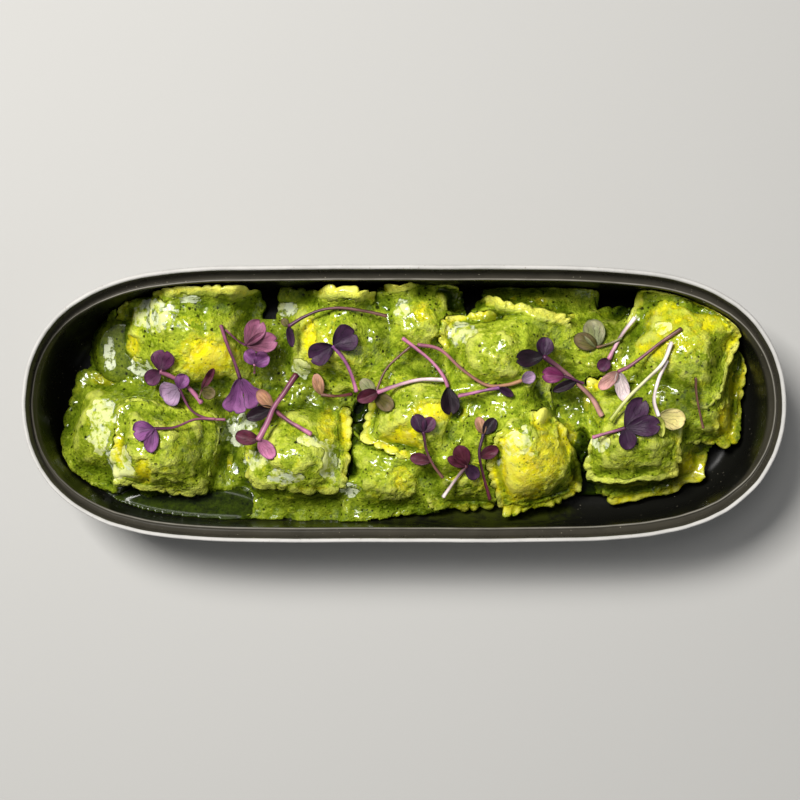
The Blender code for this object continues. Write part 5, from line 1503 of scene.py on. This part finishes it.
def mark_painted_shade():
    """Writes how much painted shade each point of the food takes, in creases, beside the dark gaps, in shaded
    patches and where it lies low, and how far it stands above the food round it, for the materials to paint
    shade and highlight."""
    heights = food_heights()
    closed = roll_over(heights, CREASE_BALL)
    mean = blur(np.maximum(heights.height, 0.0), heights.height > 0.0, 26)
    for obj in food_pieces():
        points = points_of(obj.data) / MM
        below = read_grid(closed, heights, points[:, :2]) - points[:, 2]
        # Painted shade in creases, beside the dark gaps and in the shaded patches.
        hollow = 0.92 * smooth(0.7, 5.0, below)
        for gap in DARK_GAPS:
            hollow = np.maximum(hollow, smooth(1.3, 0.8, away_from(points, *gap)) * smooth(0.3, 1.8, below))
        for *patch, share in PAINTED_SHADE_PATCHES:
            away = away_from(points, *patch) + 0.2 * lumps(points[:, :2] / 4.0, 64)
            hollow = np.maximum(hollow, share * smooth(1.25, 0.6, away))
        # Painted shade on food that lies low in the bowl.
        hollow = np.maximum(hollow, 0.45 * smooth(24.0, 10.0, points[:, 2]))
        value_attribute(obj.data, "hollow", hollow)
        above = points[:, 2] - read_grid(mean, heights, points[:, :2])
        value_attribute(obj.data, "crest", 0.5 + 0.5 * np.clip(above / 1.1, -1.0, 1.0))


class MakeGapSauce(bpy.types.Operator):
    """Pesto that has run between the parcels and to the wall: a sheet that shows where it lies highest"""

    bl_idname = "pansotti.make_gap_sauce"
    bl_label = "Sauce between the parcels"

    def execute(self, context):
        heights = food_heights()
        step = heights.STEP
        food = heights.height > 0.0
        level = blur(roll_over(heights, SAUCE_BALL), food, 5) - 0.1
        rows, columns = heights.shape
        x = heights.x0 + np.arange(rows) * step
        y = heights.y0 + np.arange(columns) * step
        grid = np.stack(np.meshgrid(x, y, indexing="ij"), 2)
        plan = grid.reshape(-1, 2)

        # The sheet is uneven, lies low in the dark gaps and under bare pasta, and thick under blankets.
        for gap in DARK_GAPS:
            level -= 6.0 * smooth(1.25, 0.7, away_from(grid, *gap))
        level += (0.30 * lumps(plan / 5.5, 63) + 0.26 * lumps(plan / 2.7, 61)
                  + 0.16 * lumps(plan / 1.3, 62)).reshape(level.shape)
        for *patch, thick in BLANKETS:
            level += thick * smooth(1.3, 0.5, away_from(grid, *patch))
        level -= 1.3 * smooth(0.15, 0.6, bare_share(plan)).reshape(level.shape)

        # It also lies low round the bare flutes, so that they stand clear of it.
        dents = np.zeros_like(level)
        turn = np.linspace(0.0, 4.0, 160, endpoint=False)
        for row in PANSOTTI:
            bared = edge_share(FLUTED_EDGES, row[0], turn)
            spots = Place(row)(square_ring(turn, 0.93, CORNER_POWER))
            for (spot_x, spot_y), strength in zip(spots[bared > 0.1], bared[bared > 0.1]):
                i = int(round((spot_x - heights.x0) / step))
                j = int(round((spot_y - heights.y0) / step))
                patch = (slice(max(i - 6, 0), i + 7), slice(max(j - 6, 0), j + 7))
                away = away_from(grid[patch], spot_x, spot_y, 1.0, 1.0)
                dents[patch] = np.maximum(dents[patch], strength * smooth(3.0, 1.0, away))
        level -= 2.2 * dents

        # Skirts of sauce that has run against the wall or down to the floor, painted darker as shade.
        deep = np.zeros_like(level)
        distance = -np.ones_like(level)
        for *patch, z, foot, dark in SKIRTS:
            away = away_from(grid, *patch)
            near = away < 1.3
            distance[near] = wall_distance(grid[near])
            lies = near & (distance > 6.2) & (heights.height < z + 0.6)
            film = z - (z - foot) * smooth(0.70, 1.25, away) ** 1.5 + 0.5 * smooth(8.0, 6.2, distance)
            deep = np.where(lies & (film > level), dark * smooth(1.25, 0.9, away), deep)
            level = np.where(lies, np.maximum(level, film), level)
            food |= lies & (away < 1.2)

        # Only the parts of the sheet that come out over the food are kept.
        wanted = food & (level > heights.height - 0.6) & (level < np.maximum(heights.height, 4.0) + 16.0)
        shows = (level > heights.height - 0.05).astype(float)
        wanted &= blur(shows, np.ones_like(level), 2) > 0.05
        start_fresh()
        bpy.ops.mesh.primitive_grid_add(x_subdivisions=rows - 1, y_subdivisions=columns - 1, size=1.0)
        sauce = context.object
        sauce.name = "pesto_between"
        mesh = sauce.data
        flat = points_of(mesh)
        i = np.round((flat[:, 0] + 0.5) * (rows - 1)).astype(int)
        j = np.round((flat[:, 1] + 0.5) * (columns - 1)).astype(int)
        place_points(mesh, np.column_stack([x[i], y[j], level[i, j]]) * MM)
        value_attribute(mesh, "deep", deep[i, j])
        value_attribute(mesh, "wet", wet_share(np.column_stack([x[i], y[j]])))
        bpy.ops.object.mode_set(mode="EDIT")
        bpy.ops.mesh.select_all(action="DESELECT")
        bpy.ops.object.mode_set(mode="OBJECT")
        mesh.vertices.foreach_set("select", ~wanted[i, j])
        bpy.ops.object.mode_set(mode="EDIT")
        bpy.ops.mesh.select_mode(type="VERT")
        bpy.ops.mesh.delete(type="VERT")
        bpy.ops.mesh.select_all(action="SELECT")
        bpy.ops.mesh.delete_loose()
        bpy.ops.object.mode_set(mode="OBJECT")
        thicken(sauce, SAUCE_THICKNESS * MM, -1.0)
        finish_piece(sauce, shared_material("loose_pesto", loose_pesto), "pesto")
        mark_painted_shade()
        return {"FINISHED"}


def through(points, count):
    """A smooth line through the points, as this many points at even steps."""
    points = np.asarray(points, float)
    ends = np.concatenate([[2 * points[0] - points[1]], points, [2 * points[-1] - points[-2]]])
    found = []
    for a, b, c, d in zip(ends, ends[1:], ends[2:], ends[3:]):
        for t in np.arange(40) / 40:
            found.append(0.5 * (2 * b + (c - a) * t + (2 * a - 5 * b + 4 * c - d) * t**2
                                + (3 * b - a - 3 * c + d) * t**3))
    found = np.array(found + [points[-1]])
    along = np.concatenate([[0.0], np.cumsum(np.linalg.norm(np.diff(found, axis=0), axis=1))])
    wanted = np.linspace(0.0, along[-1], count)
    return np.stack([np.interp(wanted, along, found[:, k]) for k in range(found.shape[1])], 1)


def settle_stem(heights, plan, radius, leaves):
    """Heights of a stem's axis: a stiff line over the highest bumps under it and its leaves."""
    need = heights.highest(plan, 2)
    for x0, y0, x1, y1, *_ in leaves:
        base, way = np.array([x0, y0]), np.array([x1 - x0, y1 - y0])
        fine = np.linspace(0.0, 1.0, 9)[:, None]
        highest = heights.highest(base + way * fine, 3).max() - LEAF_RISE * np.linalg.norm(way)
        nearest = np.argmin(np.linalg.norm(plan - base, axis=1))
        need[nearest] = max(need[nearest], highest)
    need = need + radius * 0.75
    height = need.copy()
    for _ in range(900):
        padded = np.pad(height, 1, mode="edge")
        height = np.maximum((padded[:-2] + padded[2:]) / 2, need)
    for _ in range(6):
        padded = np.pad(height, 1, mode="edge")
        height = (padded[:-2] + 2 * height + padded[2:]) / 4
    return height


def shape_stem(obj, line, radii, first, last, seed):
    """Moves a blank's points round a line, in rings of these radii."""
    ring, spot = stack_places(obj.data)
    count = len(line)
    ahead = np.gradient(line, axis=0)
    ahead /= np.linalg.norm(ahead, axis=1)[:, None]
    side = np.cross(ahead, (0.0, 0.0, 1.0))
    side /= np.linalg.norm(side, axis=1)[:, None]
    rise = np.cross(side, ahead)
    cell = np.clip(ring, 0, count - 1)
    angle = 2 * math.pi * spot
    reach = radii[cell] * np.where((ring < 0) | (ring >= count), 0.0, 1.0)
    reach = reach * (1 + 0.10 * lumps(np.stack([cell / 4.0, spot * 3.0, np.full(len(cell), seed)], 1), 71))
    points = line[cell] + reach[:, None] * (np.cos(angle)[:, None] * side[cell]
                                            + np.sin(angle)[:, None] * rise[cell])
    end = np.where(ring < 0, -1, np.where(ring >= count, 1, 0))[:, None]
    points += end * ahead[cell] * radii[cell, None] * 0.5
    place_points(obj.data, points * MM)
    share = (cell / (count - 1))[:, None]
    # The lumps give the stem's own uneven colour; then painted light: each stem is paler on its upper side and
    # darker below, the band twisting along it.
    shade = 1.0 + 0.25 * lumps(np.stack([cell / 5.0, np.full(len(cell), seed * 3.1)], 1), 72)
    shade *= 0.80 + 0.55 * np.sin(angle + 1.2 * np.sin(seed * 2.3 + cell / 9.0))
    tint_attribute(obj.data, ((1 - share) * np.array(first) + share * np.array(last)) * shade[:, None])


def shape_leaf(obj, heights, row, base_height, thickness, seed):
    """Moves a flat grid's points to a cupped seed leaf that rests on what is under it."""
    x0, y0, x1, y1, width, form, colour = row
    x1, y1, width = x0 + (x1 - x0) * LEAF_LONGER, y0 + (y1 - y0) * LEAF_LONGER, width * LEAF_WIDER
    widest, notch, cup, fold = LEAF_FORMS[form]
    flat = points_of(obj.data)
    u, v = flat[:, 0] * 2.0, flat[:, 1] * 2.0
    x, y = u * np.sqrt(1 - v**2 / 2), v * np.sqrt(1 - u**2 / 2)
    s = (y + 1) / 2
    disc = np.sqrt(np.maximum(1 - y**2, 0.01))
    t = np.clip(x / disc, -1.0, 1.0)
    base, tip = np.array([x0, y0]), np.array([x1, y1])
    way = tip - base
    length = np.linalg.norm(way)
    across = np.array([way[1], -way[0]]) / length
    power = math.log(0.5) / math.log(widest)
    half = width / 2 * np.maximum(np.sin(math.pi * np.clip(s, 0.0, 1.0) ** power), 0.0) ** 0.52
    half = np.maximum(half, width / 2 * 0.5 * disc)
    along = s * (1.0 - notch * np.exp(-((t / 0.30) ** 2)) * s**3)
    wave = 0.10 * width * lumps(np.stack([s * 3.0 + seed * 5.7, t * 2.0], 1), 81)
    plan = base + way * along[:, None] + across * (half * t)[:, None] * (1 + 0.04 * wave[:, None])
    lift = half * (cup * t**2 + fold * np.abs(t)) + wave * np.abs(t) ** 2
    level = heights.highest(plan, 1) + thickness * 0.5 + 0.1
    hang = max(level.mean() - base_height, -LEAF_HANG * length)
    z = np.maximum(level, base_height + hang * np.clip(along * 1.4, 0, 1))
    rows = np.round((v + 1) / 2 * (LEAF_ROWS - 1)).astype(int)
    columns = np.round((u + 1) / 2 * (LEAF_COLUMNS - 1)).astype(int)
    sheet = np.zeros((LEAF_ROWS, LEAF_COLUMNS))
    sheet[rows, columns] = z
    need = np.zeros_like(sheet)
    need[rows, columns] = level
    for _ in range(25):
        padded = np.pad(sheet, 1, mode="edge")
        mean = (padded[:-2, 1:-1] + padded[2:, 1:-1] + padded[1:-1, :-2] + padded[1:-1, 2:]) / 4
        sheet = np.maximum(0.4 * sheet + 0.6 * mean, need - 0.3)
    z = sheet[rows, columns] + lift
    place_points(obj.data, np.column_stack([plan, z]) * MM)
    colour = np.array(linear(*CRESS_COLOURS[colour]))
    pale_tint = np.array(settings().cress.pale_tint) * np.clip(colour.mean() / 0.10, 0.12, 1.0)
    value_attribute(obj.data, "leaf_along", s)
    value_attribute(obj.data, "leaf_fan", t * disc / (s + 0.22) + 5.0 + 0.37 * seed)
    outer = np.clip(np.maximum(np.abs(t), 1.5 * s - 0.5), 0.0, 1.0)
    pale = (smooth(0.35, 0.85, outer) * smooth(1.0, 0.9, outer) * smooth(0.15, 0.5, s))[:, None] * 0.48
    rim = smooth(0.93, 1.0, outer)[:, None] * 0.5
    shade = 1.0 + 0.35 * lumps(np.stack([s * 3.0 + seed, t * 2.0], 1), 82)
    shade *= 0.55 + 0.5 * smooth(0.0, 0.45, s)
    body = colour * shade[:, None]
    body = body * (1 - pale) + (0.3 * pale_tint + 0.7 * colour * 1.9) * pale
    tint_attribute(obj.data, body * (1 - rim) + colour * 0.35 * rim)


class MakeCress(bpy.types.Operator):
    """The sprigs of purple cress: tapered stems and cupped seed leaves, laid on the food in turn"""

    bl_idname = "pansotti.make_cress"
    bl_label = "Cress"

    def execute(self, context):
        heights = food_heights()
        thickness = settings().cress.leaf_thickness
        stem_blank = ring_stack("stem_blank", STEM_POINTS, STEM_RINGS)
        start_fresh()
        bpy.ops.mesh.primitive_grid_add(x_subdivisions=LEAF_COLUMNS - 1, y_subdivisions=LEAF_ROWS - 1,
                                        size=1.0)
        leaf_blank = context.object
        leaf_finish, stem_finish = cress_leaf(), cress_stem()
        for number, radius, first, last, points, leaves in SPRIGS:
            radius *= STEM_STOUTER
            plan = through(points, STEM_RINGS)
            line = np.column_stack([plan, settle_stem(heights, plan, radius, leaves)])
            share = np.linspace(0.0, 1.0, STEM_RINGS)
            stem = copy_of(stem_blank, f"cress_stem_{number:02d}")
            shape_stem(stem, line, radius * (1.05 - 0.25 * np.sin(math.pi * share)),
                       linear(*CRESS_COLOURS[first]), linear(*CRESS_COLOURS[last]), number)
            stem.data.materials.append(stem_finish)
            stem.data.shade_smooth()
            parts = [stem]
            for k, row in enumerate(leaves):
                nearest = np.argmin(np.linalg.norm(plan - np.array(row[:2]), axis=1))
                blade = copy_of(leaf_blank, f"cress_leaf_{number:02d}_{k + 1}")
                shape_leaf(blade, heights, (*plan[nearest], *row[2:]), line[nearest, 2],
                           thickness / MM, number + 0.3 * k)
                blade.data.materials.append(leaf_finish)
                thicken(blade, thickness, 0.0)
                soft = blade.modifiers.new("softness", "SUBSURF")
                soft.levels = soft.render_levels = 1
                bpy.ops.object.modifier_apply(modifier=soft.name)
                blade.data.shade_smooth()
                parts.append(blade)
            for part in parts:
                heights.add(part)
            select_only(*parts)
            bpy.ops.object.join()
            sprig = context.object
            sprig.name = f"cress_sprig_{number:02d}"
            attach(sprig, "root")
            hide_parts(f"cress_{number:02d}")
        remove(stem_blank)
        remove(leaf_blank)
        return {"FINISHED"}


def area_light(name, place, size, power, colour, target=(0.0, 0.0, 0.02)):
    """A soft rectangular light that looks at the target."""
    light = bpy.data.lights.new(name, "AREA")
    light.shape = "RECTANGLE"
    light.size, light.size_y = size
    light.energy = power
    light.color = colour
    made = bpy.data.objects.new(name, light)
    made.location = place
    made.rotation_euler = (Vector(target) - Vector(place)).to_track_quat("-Z", "Y").to_euler()
    bpy.context.scene.collection.objects.link(made)
    return made


class MakeStage(bpy.types.Operator):
    """Pale floor, soft lights and the camera straight over the bowl"""

    bl_idname = "pansotti.make_stage"
    bl_label = "Floor, lights and camera"

    def execute(self, context):
        stage = settings().stage
        start_fresh()
        bpy.ops.mesh.primitive_plane_add(size=8.0, location=(0.0, 0.0, 0.0))
        floor = context.object
        floor.name = "floor"
        made, tree, shader = new_material("pale_floor")
        place = object_place(tree)
        cloud = noise_node(tree, place, 3.0, 3.0)
        tree.links.new(mix_node(tree, cloud, tuple(c * 0.96 for c in stage.floor), tuple(stage.floor)),
                       shader.inputs["Base Color"])
        shader.inputs["Roughness"].default_value = 0.75
        floor.data.materials.append(made)
        area_light("key", (-0.47, 0.47, 1.19), (0.42, 0.36), stage.key_power, (1.0, 0.985, 0.96))
        area_light("fill", (0.62, -0.55, 0.62), (0.9, 0.9), stage.fill_power, (0.94, 0.97, 1.0))
        area_light("top", (-0.14, 0.22, 1.25), (0.32, 0.22), stage.top_power, (1.0, 1.0, 1.0))
        world = bpy.data.worlds.new("even_light")
        world.use_nodes = True
        background = world.node_tree.nodes["Background"]
        background.inputs["Color"].default_value = (0.95, 0.97, 1.0, 1.0)
        background.inputs["Strength"].default_value = stage.sky
        context.scene.world = world
        camera = bpy.data.objects.new("camera", bpy.data.cameras.new("camera"))
        camera.data.lens = CAMERA_LENS
        camera.data.sensor_width = CAMERA_SENSOR
        camera.data.clip_start = 0.01
        camera.location = Vector(CAMERA_PLACE) * MM
        context.scene.collection.objects.link(camera)
        context.scene.camera = camera
        context.scene.view_settings.view_transform = "Standard"
        return {"FINISHED"}


class Settings(bpy.types.PropertyGroup):
    """All that a user can change."""

    bowl: PointerProperty(type=BowlSettings)
    food: PointerProperty(type=FoodSettings)
    cress: PointerProperty(type=CressSettings)
    stage: PointerProperty(type=StageSettings)


OPERATORS = (MakeBowl, MakePool, MakePansotti, MakeGapSauce, MakeCress, MakeStage)


class PansottiPanel(bpy.types.Panel):
    """Lists the steps in the order in which they are made"""

    bl_idname = "VIEW3D_PT_pansotti"
    bl_label = "Bowl of pansotti"
    bl_space_type = "VIEW_3D"
    bl_region_type = "UI"
    bl_category = "Pansotti"

    def draw(self, context):
        for step in OPERATORS:
            self.layout.operator(step.bl_idname)
        for name in ("bowl", "food", "cress", "stage"):
            box = self.layout.box()
            group = getattr(context.scene.pansotti, name)
            for key in group.__annotations__:
                box.prop(group, key)


CLASSES = (BowlSettings, FoodSettings, CressSettings, StageSettings, Settings, *OPERATORS, PansottiPanel)


def register():
    """Adds the settings, the operators and the panel."""
    for made in CLASSES:
        bpy.utils.register_class(made)
    bpy.types.Scene.pansotti = PointerProperty(type=Settings)


def unregister():
    """Takes them away again."""
    del bpy.types.Scene.pansotti
    for made in reversed(CLASSES):
        bpy.utils.unregister_class(made)


def main():
    """Makes every piece in turn."""
    register()
    bpy.ops.pansotti.make_bowl()
    bpy.ops.pansotti.make_pool()
    bpy.ops.pansotti.make_pansotti()
    bpy.ops.pansotti.make_gap_sauce()
    bpy.ops.pansotti.make_cress()
    bpy.ops.pansotti.make_stage()
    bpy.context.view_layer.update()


if __name__ == "__main__":
    main()
